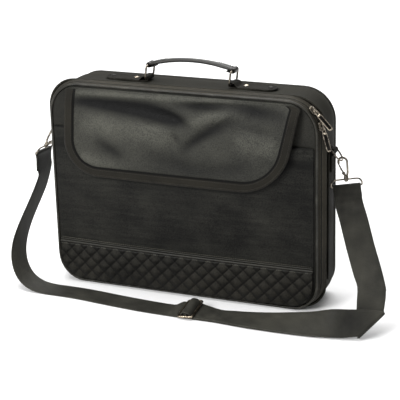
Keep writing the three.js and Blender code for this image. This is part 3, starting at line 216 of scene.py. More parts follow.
def mark(mesh, name, values):
    """Stores one number for each vertex under a name that the materials read."""
    attribute = mesh.attributes.new(name, "FLOAT", "POINT")
    attribute.data.foreach_set("value", np.asarray(values, float).reshape(-1))


def fill_mesh(name, points, faces, uv=None, wear_and_highlight=None, crease=40):
    """Mesh object from points in millimetres, with its faces turned outwards."""
    points = np.asarray(points, float).reshape(-1, 3)
    groups = outward(points, [np.asarray(f, int) for f in faces if len(f)])
    mesh = bpy.data.meshes.new(name)
    mesh.from_pydata(points * MM, [], [row for f in groups for row in f.tolist()])
    corner = np.empty(len(mesh.loops), int)
    mesh.loops.foreach_get("vertex_index", corner)
    if uv is not None:
        layer = mesh.uv_layers.new(name="Cloth")
        layer.data.foreach_set("uv", (np.asarray(uv).reshape(-1, 2)[corner] * MM).ravel())
    mark(mesh, "wear_and_highlight", np.zeros(len(points)) if wear_and_highlight is None else wear_and_highlight)
    mesh.shade_smooth()
    mesh.set_sharp_from_angle(angle=np.radians(crease))
    mesh.update()
    obj = bpy.data.objects.new(name, mesh)
    bpy.context.scene.collection.objects.link(obj)
    return obj


def mark_tone_and_shade(obj, tone):
    """Stores each vertex's tone, which paints shade and highlights, and on some pieces streaks, into
    the colour: values in order, or worked out from where it lies in millimetres. 0.5 is plain."""
    mesh = obj.data
    if callable(tone):
        place = np.empty(len(mesh.vertices) * 3)
        mesh.vertices.foreach_get("co", place)
        tone = tone(*(place.reshape(-1, 3).T / MM))
    mark(mesh, "tone", np.clip(tone, 0, 1))
    return obj


def skin_faces(rows, around, ends):
    """Quads between neighbouring rings. The two ends are closed by a strip or a fan each, or joined
    to each other."""
    index = np.arange(rows * around).reshape(rows, around)
    a = index if ends == "joined" else index[:-1]
    b = np.roll(index, -1, 0) if ends == "joined" else index[1:]
    quads = np.stack([a, np.roll(a, -1, 1), np.roll(b, -1, 1), b], -1).reshape(-1, 4)
    tris = np.empty((0, 3), int)
    if ends == "strip":
        j = np.arange(around // 2 - 1)
        cap = np.stack([j, j + 1, around - 2 - j, around - 1 - j], -1)
        last = cap + (rows - 1) * around
        quads = np.concatenate([quads, cap[:, ::-1], last])
    if ends == "fan":
        j = np.arange(around)
        k = np.roll(j, -1)
        top = (rows - 1) * around
        middle = rows * around
        tris = np.concatenate([
            np.stack([np.full(around, middle), k, j], -1),
            np.stack([np.full(around, middle + 1), j + top, k + top], -1),
        ])
    return quads, tris


def with_ends(values):
    """The rings' values in one row, then the middle of the first ring and of the last."""
    return np.concatenate([values.reshape((-1,) + values.shape[2:]), values[[0, -1]].mean(axis=1)])


def skin(name, rings, ends, uv=None, wear_and_highlight=None, crease=40):
    """Closed surface over a row of equal rings, given as rows by points by three."""
    faces = skin_faces(*rings.shape[:2], ends)
    if ends == "fan":
        rings, uv, wear_and_highlight = (None if v is None else with_ends(v) for v in (rings, uv, wear_and_highlight))
    return fill_mesh(name, rings, faces, uv, wear_and_highlight, crease)


def cloth_map(along, across, rings):
    """The piece's own map: distances along and across the cloth at each point of the rings."""
    return np.stack([np.broadcast_to(v, rings.shape[:2]) for v in (along, across)], -1)


def merge(name, parts, crease=40):
    """One mesh from several skins, given as rings with their kind of ends."""
    points, quads, tris, uvs, base = [], [], [], [], 0
    for rings, ends in parts:
        rows, around = rings.shape[:2]
        block = with_ends(rings) if ends == "fan" else rings.reshape(-1, 3)
        q, t = outward(block, skin_faces(rows, around, ends))
        s = np.linspace(0, 1, rows)[:, None] * np.ones(around)
        length = np.linalg.norm(np.diff(rings.mean(axis=1), axis=0), axis=1).sum()
        turn = np.ones(rows)[:, None] * np.linspace(0, 20, around)
        uv = np.stack([s * length, turn], -1).reshape(-1, 2)
        uvs.append(np.concatenate([uv, uv[[0, -1]]]) if ends == "fan" else uv)
        points.append(block)
        quads.append(q + base)
        tris.append(t + base)
        base += len(block)
    faces = [np.concatenate(quads), np.concatenate(tris)]
    return fill_mesh(name, np.concatenate(points), faces, np.concatenate(uvs), None, crease)


def tube(path, radius, normal, closed, sides):
    """Round bar: a circle across each point of the path. Open ends close in a rounded nose."""
    path = np.asarray(path, float)
    radius = np.broadcast_to(np.asarray(radius, float), (len(path),)).copy()
    along = tangents(path, closed)
    if not closed:
        turn = np.radians([78, 52, 26])
        nose = np.cos(turn)
        back = np.sin(turn)
        path = np.concatenate([
            path[:1] - along[:1] * (radius[0] * back)[:, None], path,
            path[-1:] + along[-1:] * (radius[-1] * back[::-1])[:, None],
        ])
        along = np.concatenate([np.repeat(along[:1], 3, 0), along, np.repeat(along[-1:], 3, 0)])
        radius = np.concatenate([radius[0] * nose, radius, radius[-1] * nose[::-1]])
    across = unit(np.cross(along, np.broadcast_to(normal, along.shape)))
    up = np.cross(across, along)
    angle = 2 * np.pi * np.arange(sides) / sides
    ring = (across[:, None] * np.cos(angle)[None, :, None]
            + up[:, None] * np.sin(angle)[None, :, None]) * radius[:, None, None]
    return path[:, None] + ring, ("joined" if closed else "fan")


def turned(origin, axis, profile, sides=20):
    """Turned shape: a profile of radius and height carried round the axis."""
    axis = unit(np.asarray(axis, float))
    side = unit(np.cross(axis, X if abs(axis @ X) < 0.9 else Y))
    other = np.cross(axis, side)
    angle = 2 * np.pi * np.arange(sides) / sides
    circle = side[None] * np.cos(angle)[:, None] + other[None] * np.sin(angle)[:, None]
    r, h = np.asarray(profile, float).T
    middle = (origin + axis * h[:, None])[:, None]
    return middle + circle[None] * r[:, None, None], "fan"


def rounded_plate(shape, low, high, u, v, w, origin, edge):
    """Plate with rounded edges: a flat outline, drawn in by the edge near both faces."""
    shape = np.asarray(shape, float)
    way = tangents(shape, True)
    inward = np.stack([-way[:, 1], way[:, 0]], -1)
    area = np.sum(shape[:, 0] * np.roll(shape[:, 1], -1) - np.roll(shape[:, 0], -1) * shape[:, 1])
    inward = inward if area > 0 else -inward
    turn = np.radians([0, 30, 60, 90])
    drawn, raised = edge * (1 - np.sin(turn)), edge * (1 - np.cos(turn))
    insets = np.concatenate([drawn, drawn[::-1]])
    heights = np.concatenate([low + raised, high - raised[::-1]])
    flat = shape[None] + inward[None] * insets[:, None, None]
    return origin + flat[..., :1] * u + flat[..., 1:] * v + heights[:, None, None] * w, "fan"


def ribbon(middle, half, face, wall, columns, crown, edge=0.35):
    """Flat band with soft edges: its width in columns, thinner at both edges, on each side."""
    share = np.sin(np.linspace(-np.pi / 2, np.pi / 2, columns))
    body = wall / 2 * (1 - edge * np.abs(share) ** 12) * (1 + crown * (1 - share ** 2))
    top = (middle[:, None] + half[:, None] * share[None, :, None]
           + face[:, None] * body[None, :, None])
    low = (middle[:, None] + half[:, None] * share[::-1][None, :, None]
           - face[:, None] * body[::-1][None, :, None])
    return np.concatenate([top, low], axis=1)


def stitch_row(path, up, pitch=3.2, length=2.3, width=0.32, lift=0.15):
    """Sewn line: small flat capsules at an even pitch along the path, lying on the surface."""
    fine = even(np.asarray(path, float), pitch)
    centre = (fine[:-1] + fine[1:]) / 2
    along = unit(fine[1:] - fine[:-1])
    up = np.broadcast_to(up, centre.shape) if np.ndim(up) == 1 else even_like(path, up, centre)
    side = unit(np.cross(along, up))
    rise = np.cross(side, along)
    x = np.array([-0.5, -0.36, 0.0, 0.36, 0.5])
    r = np.array([0.35, 0.85, 1.0, 0.85, 0.35])
    angle = 2 * np.pi * np.arange(6) / 6
    a = (x * length)[None, :, None, None] * along[:, None, None]
    b = (r[:, None] * np.cos(angle) * width)[None, ..., None] * side[:, None, None]
    c = (r[:, None] * np.sin(angle) * width)[None, ..., None] * rise[:, None, None]
    return centre[:, None, None] + a + b + c + (rise * lift)[:, None, None]


def even_like(path, values, centre):
    """Values of the nearest point of the path, for each centre."""
    path = np.asarray(path, float)
    gap = np.linalg.norm(centre[:, None] - path[None], axis=-1)
    return unit(values[np.argmin(gap, axis=1)])


def stitches(name, rows, **shape):
    """All stitches of several sewn lines as one mesh."""
    blocks = [stitch_row(path, up, **shape) for path, up in rows]
    capsules = np.concatenate(blocks)
    count, rings, around = capsules.shape[:3]
    centres = capsules[:, [0, -1]].mean(axis=2)
    points = np.concatenate([capsules.reshape(count, -1, 3), centres], axis=1)
    quads, tris = skin_faces(rings, around, "fan")
    shift = (np.arange(count) * points.shape[1])[:, None, None]
    faces = [(quads[None] + shift).reshape(-1, 4), (tris[None] + shift).reshape(-1, 3)]
    return fill_mesh(name, points.reshape(-1, 3), faces)


# Materials

def node(mat, kind, out, props=None, **inputs):
    """Adds one node. Inputs are sockets to link or values; iN names an input by number."""
    made = mat.node_tree.nodes.new("ShaderNode" + kind)
    for key, value in (props or {}).items():
        setattr(made, key, value)
    for key, value in inputs.items():
        socket = made.inputs[int(key[1:]) if key[1:].isdigit() else key]
        if isinstance(value, bpy.types.NodeSocket):
            mat.node_tree.links.new(value, socket)
        else:
            socket.default_value = value
    return made.outputs[out]


def shader(name, roughness, metallic=0.0, specular=0.5, sheen=0.0):
    """New material whose shader has its uniform values on its own sockets."""
    mat = bpy.data.materials.new(name)
    mat.use_nodes = True
    body = mat.node_tree.nodes["Principled BSDF"]
    for socket, value in (("Roughness", roughness), ("Metallic", metallic),
                          ("Specular IOR Level", specular), ("Sheen Weight", sheen),
                          ("Sheen Roughness", 0.5)):
        body.inputs[socket].default_value = value
    return mat, body


def link(mat, output, socket):
    """Joins an output to a socket."""
    mat.node_tree.links.new(output, socket)


def blend_colour(mat, share, dark, light):
    """Colour between two tones."""
    return node(mat, "Mix", 2, {"data_type": "RGBA"}, i0=share, i6=(*dark, 1), i7=(*light, 1))


def math_node(mat, kind, a, b=0.0):
    """Sum, product or other function of two values."""
    return node(mat, "Math", 0, {"operation": kind}, i0=a, i1=b)


def ranged(mat, value, low, high, to_low, to_high):
    """The value carried from one range to another, and held at its ends."""
    return node(mat, "MapRange", 0, i0=value, i1=low, i2=high, i3=to_low, i4=to_high)


def noise(mat, coords, scale, detail=2.0, roughness=0.5):
    """Soft random field, with the given number of sizes to a metre."""
    return node(mat, "TexNoise", 0, Vector=coords, Scale=scale, Detail=detail, Roughness=roughness)


def bump(mat, height, distance, **under):
    """Low relief from a height, over another relief where one is given."""
    return node(mat, "Bump", 0, Height=height, Distance=distance, Strength=1.0, **under)


def wear_and_highlight_share(mat, coords):
    """Patchy share of wear and painted highlight: the piece's own attribute broken up by a noise."""
    amount = node(mat, "Attribute", 2, {"attribute_name": "wear_and_highlight"})
    patch = noise(mat, coords, 260.0, 3.0)
    return math_node(mat, "MULTIPLY", amount, ranged(mat, patch, 0.35, 0.65, 0.2, 1.0))


def object_coords(mat, scale=(1, 1, 1)):
    """The object's own coordinates, stretched where a scale is given."""
    coords = node(mat, "TexCoord", 3)
    return coords if scale == (1, 1, 1) else node(mat, "Mapping", 0, Vector=coords, Scale=scale)


def toned(mat, colour, low, high):
    """The colour darkened or lightened, between two factors, by the tone's painted shade and
    highlights.
    """
    tone = node(mat, "Attribute", 2, {"attribute_name": "tone"})
    factor = ranged(mat, tone, 0.0, 1.0, low, high)
    return node(mat, "VectorMath", 0, {"operation": "SCALE"}, i0=colour, i3=factor)


def cover_colour(mat, coords, share, dark, light, lift, tones):
    """Colour between two tones by a share, lighter where the wear attribute marks worn edges and the
    grip's painted highlight, and darker or lighter by the painted shade and highlights of the tone
    attribute where the piece has one."""
    base = blend_colour(mat, share, dark, light)
    worn_and_highlit = tuple(min(c * lift + 0.02, 1) for c in light)
    colour = node(mat, "Mix", 2, {"data_type": "RGBA"}, i0=wear_and_highlight_share(mat, coords), i6=base,
                  i7=(*worn_and_highlit, 1))
    return toned(mat, colour, *tones) if tones else colour


def leather(name, dark, light, roughness, specular, pebble=0.0014, depth=0.00004,
            streak=(1, 1, 1), wrinkle=0.00010, tones=None):
    """Grained leather: pebbles of smooth cells, fine wrinkles that run one way, and uneven tone and
    gloss."""
    mat, body = shader(name, roughness, specular=specular)
    coords = object_coords(mat)
    cloud = noise(mat, coords, 14.0, 4.0, 0.6)
    cells = node(mat, "TexVoronoi", 0, {"feature": "SMOOTH_F1"}, Vector=coords,
                 Scale=1 / pebble, Smoothness=0.6)
    grain = ranged(mat, cells, 0.1, 0.75, 1.0, 0.0)
    lines = noise(mat, object_coords(mat, streak), 180.0, 5.0, 0.65)
    tone = math_node(mat, "ADD", math_node(mat, "MULTIPLY", cloud, 0.9),
                     math_node(mat, "MULTIPLY", grain, 0.35))
    share = ranged(mat, math_node(mat, "ADD", tone, math_node(mat, "MULTIPLY", lines, 0.35)),
                   0.56, 1.04, 0.0, 1.0)
    link(mat, cover_colour(mat, coords, share, dark, light, 2.2, tones), body.inputs["Base Color"])
    rough = ranged(mat, math_node(mat, "ADD", cloud, math_node(mat, "MULTIPLY", lines, 0.5)),
                   0.5, 1.0, roughness - 0.08, roughness + 0.1)
    link(mat, rough, body.inputs["Roughness"])
    creased = bump(mat, lines, wrinkle, Normal=bump(mat, grain, depth))
    link(mat, creased, body.inputs["Normal"])
    return mat


def woven(name, dark, light, roughness, pitch=0.0007, depth=0.0001, rib=None, sheen=0.03,
          stripes=0.0, specular=0.12, tones=None):
    """Cloth from two crossed yarn waves on the piece's own map. A rib adds bars across its length,
    and stripes lines along it."""
    mat, body = shader(name, roughness, specular=specular, sheen=sheen)
    coords = object_coords(mat)
    own = node(mat, "UVMap", 0, {"uv_map": "Cloth"})
    split = mat.node_tree.nodes.new("ShaderNodeSeparateXYZ")
    link(mat, own, split.inputs[0])
    along, across = split.outputs[0], split.outputs[1]

    def wave(value, length):
        return math_node(mat, "SINE", math_node(mat, "MULTIPLY", value, np.pi / length))

    yarn = math_node(mat, "MULTIPLY", wave(along, pitch), wave(across, pitch))
    height = ranged(mat, yarn, -1.0, 1.0, 0.0, 1.0)
    if rib:
        bars = math_node(mat, "ABSOLUTE", wave(along, rib))
        height = math_node(mat, "ADD", math_node(mat, "MULTIPLY", height, 0.3), bars)
    if stripes:
        lines = math_node(mat, "ABSOLUTE", wave(across, stripes))
        height = math_node(mat, "ADD", math_node(mat, "MULTIPLY", height, 0.5), lines)
    cloud = noise(mat, coords, 18.0, 5.0, 0.6)
    fuzz = noise(mat, coords, 900.0)
    tone = math_node(mat, "ADD", math_node(mat, "MULTIPLY", height, 0.35),
                     math_node(mat, "ADD", cloud, math_node(mat, "MULTIPLY", fuzz, 0.3)))
    share = ranged(mat, tone, 0.6, 1.1, 0.0, 1.0)
    link(mat, cover_colour(mat, coords, share, dark, light, 2.0, tones), body.inputs["Base Color"])
    link(mat, ranged(mat, cloud, 0.3, 0.7, roughness - 0.06, roughness + 0.08),
         body.inputs["Roughness"])
    soft = bump(mat, cloud, 0.0004, Normal=bump(mat, height, depth))
    link(mat, soft, body.inputs["Normal"])
    return mat


def plated(name, dark, light, roughness):
    """Plated metal: painted reflections in patches, fine scratches, and gloss that varies with them.
    """
    mat, body = shader(name, roughness, metallic=1.0)
    # Dark and bright patches: painted reflections
    patch = noise(mat, object_coords(mat), 140.0, 4.0, 0.6)
    fine = noise(mat, object_coords(mat, (1, 1, 0.12)), 2600.0, 3.0)
    share = ranged(mat, math_node(mat, "ADD", patch, math_node(mat, "MULTIPLY", fine, 0.3)),
                   0.5, 0.85, 0.0, 1.0)
    link(mat, blend_colour(mat, share, dark, light), body.inputs["Base Color"])
    link(mat, ranged(mat, fine, 0.3, 0.7, roughness - 0.06, roughness + 0.12),
         body.inputs["Roughness"])
    link(mat, bump(mat, fine, 0.00003), body.inputs["Normal"])
    return mat


def grey(value, warm):
    """A near-neutral tone with a little less blue; warm moves it from olive to brown."""
    return (value * (1 + warm), value, value * (1 - warm) * 0.83)


flap_leather = leather("flap_leather", grey(0.014, 0.0), grey(0.041, 0.01), 0.50, pebble=0.0015,
                       specular=0.15, streak=(1.2, 1.0, 2.4), depth=0.00034, wrinkle=0.00085,
                       tones=(0.0, 2.0))
pocket_leather = leather("pocket_leather", grey(0.002, 0.0), grey(0.019, 0.01), 0.52,
                         pebble=0.0012, depth=0.00006, streak=(0.12, 1.0, 2.0), wrinkle=0.00070,
                         specular=0.10, tones=(0.1, 1.9))
quilt_leather = leather("quilt_leather", grey(0.004, 0.06), grey(0.018, 0.08), 0.44,
                        pebble=0.0012, depth=0.00006, specular=0.12, tones=(0.1, 1.9))
panel_leather = leather("panel_leather", grey(0.006, 0.02), grey(0.022, 0.03), 0.5, specular=0.12)
piping_leather = leather("piping_leather", grey(0.010, 0.04), grey(0.032, 0.06), 0.42,
                         pebble=0.0009, depth=0.00003, specular=0.22)
trim_leather = leather("trim_leather", grey(0.005, 0.08), grey(0.013, 0.09), 0.62, specular=0.06)
handle_leather = leather("handle_leather", grey(0.005, 0.04), grey(0.020, 0.06), 0.38,
                         pebble=0.0010, depth=0.00004, streak=(0.3, 1, 1), specular=0.3)
case_nylon = woven("case_nylon", grey(0.013, 0.04), grey(0.025, 0.05), 0.72, pitch=0.00055,
                   depth=0.00003, specular=0.06, sheen=0.0)
zip_tape = woven("zip_tape", grey(0.008, 0.10), grey(0.028, 0.12), 0.68, pitch=0.0006,
                 depth=0.00004, stripes=0.0016)
binding_webbing = woven("binding_webbing", grey(0.003, 0.10), grey(0.016, 0.12), 0.66,
                        pitch=0.0008, depth=0.00016, rib=0.0017, specular=0.1,
                        tones=(0.1, 1.9))
strap_webbing = woven("strap_webbing", grey(0.012, 0.02), grey(0.040, 0.04), 0.58, pitch=0.0007,
                      depth=0.00004, tones=(0.1, 1.9))
coil_nylon = woven("coil_nylon", grey(0.005, 0.05), grey(0.016, 0.05), 0.45)
thread = woven("thread", grey(0.012, 0.05), grey(0.040, 0.05), 0.55, pitch=0.0003, depth=0.00005)
# A lighter copy of the thread: painted highlights on the pocket seam's stitches
highlit_seam_thread = woven("highlit_seam_thread", grey(0.030, 0.05), grey(0.120, 0.05), 0.55, pitch=0.0003,
                    depth=0.00005)
gunmetal = plated("gunmetal", (0.035, 0.031, 0.028), (0.42, 0.37, 0.30), 0.26)
bronze = plated("bronze", (0.06, 0.05, 0.04), (0.52, 0.44, 0.33), 0.24)
# Bright metal for painted glints and highlights on the inner rivets and the pulls
painted_glint_metal = plated("painted_glint_metal", (0.22, 0.19, 0.15), (0.66, 0.58, 0.46), 0.22)
# Near-black metal: the pulls' dark inserts, and painted shade on the outer rivets
enamel_and_shade = plated("enamel_and_shade", (0.012, 0.011, 0.010), (0.03, 0.028, 0.026), 0.35)


def piece(obj, material, body="root", replaces=()):
    """Gives a finished piece its material and its body, and hides the frame's nodes that it stands
    for.
    """
    obj.data.materials.append(material)
    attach(obj, body)
    if replaces:
        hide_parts(*replaces)
    return obj


# Camera, light and floor

def aim_camera():
    """Camera on a sphere round its target, at an azimuth, an elevation and a roll."""
    azimuth, elevation, roll = np.radians([23.21, 18.97, -1.63])
    target = Vector((0.0108, 0.0, 0.1312))
    distance = 2.0129
    toward = Vector((np.sin(azimuth) * np.cos(elevation), -np.cos(azimuth) * np.cos(elevation),
                     np.sin(elevation)))
    level = Vector((np.cos(azimuth), np.sin(azimuth), 0.0))
    upright = toward.cross(level)
    right = level * np.cos(roll) + upright * np.sin(roll)
    up = upright * np.cos(roll) - level * np.sin(roll)
    data = bpy.data.cameras.new("camera")
    data.lens = 127.3
    data.sensor_width = 36.0
    data.clip_end = 50.0
    camera = bpy.data.objects.new("camera", data)
    place = Matrix((right, up, toward)).transposed().to_4x4()
    place.translation = target + toward * distance
    camera.matrix_world = place
    bpy.context.scene.collection.objects.link(camera)
    bpy.context.scene.camera = camera


def soft_light(name, place, aim, size, power):
    """White light from a rectangle that faces its aim."""
    data = bpy.data.lights.new(name, "AREA")
    data.shape = "RECTANGLE"
    data.size, data.size_y = size
    data.energy = power
    lamp = bpy.data.objects.new(name, data)
    lamp.location = place
    way = Vector(aim) - Vector(place)
    lamp.rotation_euler = way.to_track_quat("-Z", "Y").to_euler()
    bpy.context.scene.collection.objects.link(lamp)


def dress_studio():
    """Pale floor, pale surroundings and large soft lights."""
    mat, body = shader("floor_paper", 0.8, specular=0.1)
    tone = noise(mat, object_coords(mat), 30.0)
    link(mat, blend_colour(mat, tone, (0.88, 0.88, 0.88), (0.91, 0.91, 0.91)),
         body.inputs["Base Color"])
    mesh = bpy.data.meshes.new("floor")
    reach = 12.0
    corners = ((-1, -1), (1, -1), (1, 1), (-1, 1))
    mesh.from_pydata([(x * reach, y * reach, 0) for x, y in corners], [], [(0, 1, 2, 3)])
    mesh.materials.append(mat)
    floor = bpy.data.objects.new("floor", mesh)
    bpy.context.scene.collection.objects.link(floor)
    world = bpy.data.worlds.new("studio")
    world.use_nodes = True
    world.node_tree.nodes["Background"].inputs[0].default_value = (1.0, 1.0, 1.0, 1)
    world.node_tree.nodes["Background"].inputs[1].default_value = 0.35
    bpy.context.scene.world = world
    bpy.context.scene.view_settings.view_transform = "Standard"
    soft_light("key", (-0.95, -2.1, 1.5), (0, 0, 0.2), (1.2, 0.9), 62.0)
    soft_light("top", (-0.2, 0.1, 2.4), (0, 0, 0.2), (2.2, 1.5), 55.0)
    soft_light("fill", (2.2, -1.2, 1.4), (0, 0, 0.15), (0.8, 0.8), 2.0)
    soft_light("backdrop", (-0.8, 3.4, 3.0), (-0.8, 3.6, 0.0), (4.0, 3.0), 170.0)


aim_camera()
dress_studio()


# Case: gusset with its back, zip band, pipings and front panel

# Steps of the outline: along each corner, up each side and across
ARC_STEPS = 14
SIDE_STEPS = 22
ACROSS_STEPS = 46


def outline(half, bottom, top, r_top, r_base):
    """Upright outline with round corners: x, z and the outward way, for each row of sizes. It starts
    at the right side's upper end and runs over the top, down the left side and back."""
    half, bottom, top, r_top, r_base = (np.atleast_1d(v).astype(float)[:, None]
                                        for v in (half, bottom, top, r_top, r_base))
    half, bottom, top, r_top, r_base = np.broadcast_arrays(half, bottom, top, r_top, r_base)
    corners = [(1, top - r_top, r_top, 0), (-1, top - r_top, r_top, 90),
               (-1, bottom + r_base, r_base, 180), (1, bottom + r_base, r_base, 270)]
    bends = []
    for sign, z, r, start in corners:
        angle = np.radians(start + np.linspace(0, 90, ARC_STEPS + 1))
        bends.append((sign * (half - r) + r * np.cos(angle), z + r * np.sin(angle),
                      np.cos(angle) + 0 * half, np.sin(angle) + 0 * half))
    rows = []
    for k, steps in enumerate((ACROSS_STEPS, SIDE_STEPS) * 2):
        rows.append(bends[k])
        t = np.arange(1, steps) / steps
        after = bends[(k + 1) % 4]
        rows.append(tuple(lerp(a[:, -1:], b[:, :1], t) for a, b in zip(bends[k], after)))
    return tuple(np.concatenate([row[i] for row in rows], axis=1) for i in range(4))


def outline_path(y, *sizes):
    """One outline as points at depth y."""
    x, z, _, _ = outline(*sizes)
    return np.stack([x[0], np.full_like(x[0], y), z[0]], -1)


GUSSET_DEPTH = np.array([0, 0.22, 0.72, 0.955, 1.0])
GUSSET_FLARE = np.array([1.0, 0.4, 0.4, 0.0, 0.0])


def make_case():
    """Gusset and back as one hollow skin. Rows run from the inner back, out to the rim and over the
    outside to the back; the size at each depth is blended between named sections, and the cloth
    puckers towards the back seam by a ripple round the outline."""
    depth = np.concatenate([np.linspace(0, 0.2, 7), np.linspace(0.26, 0.9, 22),
                            np.linspace(0.92, 0.985, 7)])
    flare = np.interp(depth, GUSSET_DEPTH, GUSSET_FLARE)
    soften = np.exp(-depth / 0.09) * 0.6 + 0.4 * (1 - np.clip((depth - 0.6) / 0.36, 0, 1) ** 2)
    flare = np.where(depth < 0.3, soften, np.minimum(flare, soften))
    y = lerp(RIM_Y, BACK_Y, depth)
    lift = np.clip((depth - 0.72) / 0.235, 0, 1) * 1.7
    x, z, nx, nz = outline(lerp(BACK_HALF, RIM_HALF, flare), lift, lerp(BACK_TOP, RIM_TOP, flare),
                           TOP_RADIUS, BASE_RADIUS)
    s, _ = arc_length(np.stack([x[0], z[0]], -1), True)
    seam = np.exp(-((1 - depth) / 0.1) ** 2)[:, None]
    corner = (np.abs(nx * nz) * 2)
    pucker = seam * (0.35 + 0.9 * corner) * ripple(s, 4, 17.0)
    wave = np.sin(np.pi * depth)[:, None] * (0.7 * ripple(s, 9, 130.0) - 0.5)
    push = np.minimum(pucker + wave, 0.5) * np.where(nz < -0.4, 0.15, 1.0)
    outer = np.stack([x + nx * push, np.broadcast_to(y[:, None], x.shape), z + nz * push], -1)
    outer[:, :, 2] = np.maximum(outer[:, :, 2], FLOOR_GAP)
    # Back panel: the last ring drawn in towards the middle, rounded over the edge
    middle = np.array([0.0, 0.0, 150.0])
    shares = np.array([0.9935, 0.987, 0.975, 0.95, 0.9, 0.82, 0.7, 0.5, 0.3, 0.12])
    last = outer[-1] * np.array([1, 0, 1])
    panel = middle + (last - middle) * shares[:, None, None]
    drop = np.array([0.4, 0.06, 0, 0, 0, 0, 0, 0, 0, 0])[:, None]
    panel[:, :, 1] = BACK_Y - drop
    inner = outer - np.stack([nx, 0 * nx, nz], -1) * CASE_WALL
    inner[-1, :, 1] = BACK_Y - CASE_WALL
    rings = np.concatenate([inner[::-1], outer, panel])
    run, _ = arc_length(rings[:, ACROSS_STEPS + ARC_STEPS])
    uv = cloth_map(s, run[:, None], rings)
    wear_and_highlight = np.zeros(rings.shape[:2])
    wear_and_highlight[len(inner):len(inner) + 2] = 0.5
    return skin("case_cloth", rings, "fan", uv, wear_and_highlight, crease=50)


BAND_FRONT = FRONT_Y + PIPING_RADIUS + SEAM_GAP
BAND_BACK = RIM_Y - SEAM_GAP


def band_ring(share, push):
    """The zip band's outer face at a share of its depth from the front, moved out by push."""
    share = np.atleast_1d(share).astype(float)
    half = lerp(PIPING_HALF, RIM_HALF - SEAM_GAP, share)
    x, z, nx, nz = outline(half, lerp(1.2, 0.3, share), lerp(PIPING_TOP, RIM_TOP - SEAM_GAP, share),
                           TOP_RADIUS + half - PIPING_HALF, BASE_RADIUS + half - PIPING_HALF)
    push = np.broadcast_to(np.atleast_1d(push).astype(float)[:, None], x.shape)
    y = np.broadcast_to(lerp(BAND_FRONT, BAND_BACK, share)[:, None], x.shape)
    return np.stack([x + nx * push, y, z + nz * push], -1)


def make_zip_band():
    """Two tapes with a channel between them: the outer face's push is a function of the share of the
    band's depth, and an inner face 2.2 mm behind closes the skin."""
    share = np.array([0, .03, .1, .3, .36, .39, .42, .52, .55, .58, .62, .8, .9, .93, .97, 1])
    push = np.array([-.3, .1, .15, .15, .2, -.1, -.9, -.9, -.1, .2, .15, .15, .1, -.25, .1, -.2])
    outer = band_ring(share, push)
    inner = band_ring(share[::-1][[0, 5, 10, 15]], np.full(4, -2.2))
    rings = np.concatenate([outer, inner])
    s, _ = arc_length(outer[0], True)
    run = np.concatenate([share * 15, 15 + np.arange(4) * 5.0])
    wear_and_highlight = np.zeros(rings.shape[:2])
    wear_and_highlight[[1, 4, 9, 14]] = 0.7
    return skin("zip_tapes", rings, "joined", cloth_map(s, run[:, None], rings), wear_and_highlight, crease=60)


def make_zip_coil():
    """Coil of the zip: a cord along the channel whose thickness pulses once for each tooth."""
    path = even(band_ring(0.47, -0.35)[0], 0.5, True)
    s, _ = arc_length(path, True)
    radius = 0.62 + 0.3 * np.abs(np.sin(np.pi * s / 1.9))
    rings, ends = tube(path, radius, Y, True, 6)
    return skin("zip_coil", rings, ends, crease=80)


def make_piping(name, y, half, bottom, top, radius):
    """Round cord along the outline; its thickness varies a little, and its wear comes and goes."""
    path = even(outline_path(y, half, bottom, top, TOP_RADIUS, BASE_RADIUS), 4.0, True)
    s, _ = arc_length(path, True)
    rings, ends = tube(path, radius * (0.97 + 0.03 * ripple(s, 21, 11.0)), Y, True, 14)
    wear_and_highlight = np.broadcast_to(np.clip(ripple(s, 3, 40.0), 0, 1)[:, None] * 0.5, rings.shape[:2])
    return skin(name, rings, ends, None, wear_and_highlight, crease=80)


def make_front_panel():
    """Plate behind the pocket: rings of its outline that grow over the back, turn round a soft edge
    and draw in again over the front."""
    x, z, _, _ = outline(PANEL_HALF, PANEL_BOTTOM, PANEL_TOP, PANEL_TOP_RADIUS, PANEL_BASE_RADIUS)
    middle = np.array([0.0, 150.0])
    flat = np.stack([x[0], z[0]], -1)
    shares = np.array([0.3, 0.7, 0.997, 1.0, 1.0, 0.9985, 0.996, 0.985, 0.96, 0.9, 0.8, 0.6, 0.3])
    depth = np.array([38.05, 38.05, 38.05, 38.3, 39.3, 39.85, 40, 40, 40, 40, 40, 40, 40])
    rings = middle + (flat - middle)[None] * shares[:, None, None]
    y = np.broadcast_to(-depth[:, None], rings.shape[:2])
    points = np.stack([rings[..., 0], y, rings[..., 1]], -1)
    return skin("panel_plate", points, "fan", crease=60)


piece(make_case(), case_nylon, replaces=("case_shell",))
piece(make_zip_band(), zip_tape, replaces=("zip_band",))
piece(make_zip_coil(), coil_nylon)
piece(make_piping("front_cord", FRONT_Y, PIPING_HALF, PIPING_BOTTOM, PIPING_TOP, PIPING_RADIUS),
      piping_leather, replaces=("front_piping",))
piece(make_piping("back_cord", 39.3, BACK_HALF, 1.7, BACK_TOP, BACK_PIPING_RADIUS),
      piping_leather, replaces=("back_piping",))
piece(make_front_panel(), panel_leather, replaces=("front_panel",))


# Front pocket and quilted strip

def lower_half_width(z, inset):
    """Half width inside the panel's round lower corners."""
    radius = PANEL_BASE_RADIUS - inset
    rise = np.maximum(PANEL_BOTTOM + inset + radius - z, 0)
    return PANEL_HALF - inset - radius + np.sqrt(np.maximum(radius ** 2 - rise ** 2, 0))


def pocket_face(u, z):
    """Depth of the pocket's plain outer face: a crown across the width that grows with height."""
    crown = (1 - u * u) * (0.35 + 0.65 * np.sin(np.pi / 2 * np.minimum(z / POCKET_HEIGHT, 1)))
    return FRONT_Y - SEAM_GAP - POCKET_WALL - POCKET_BULGE * crown


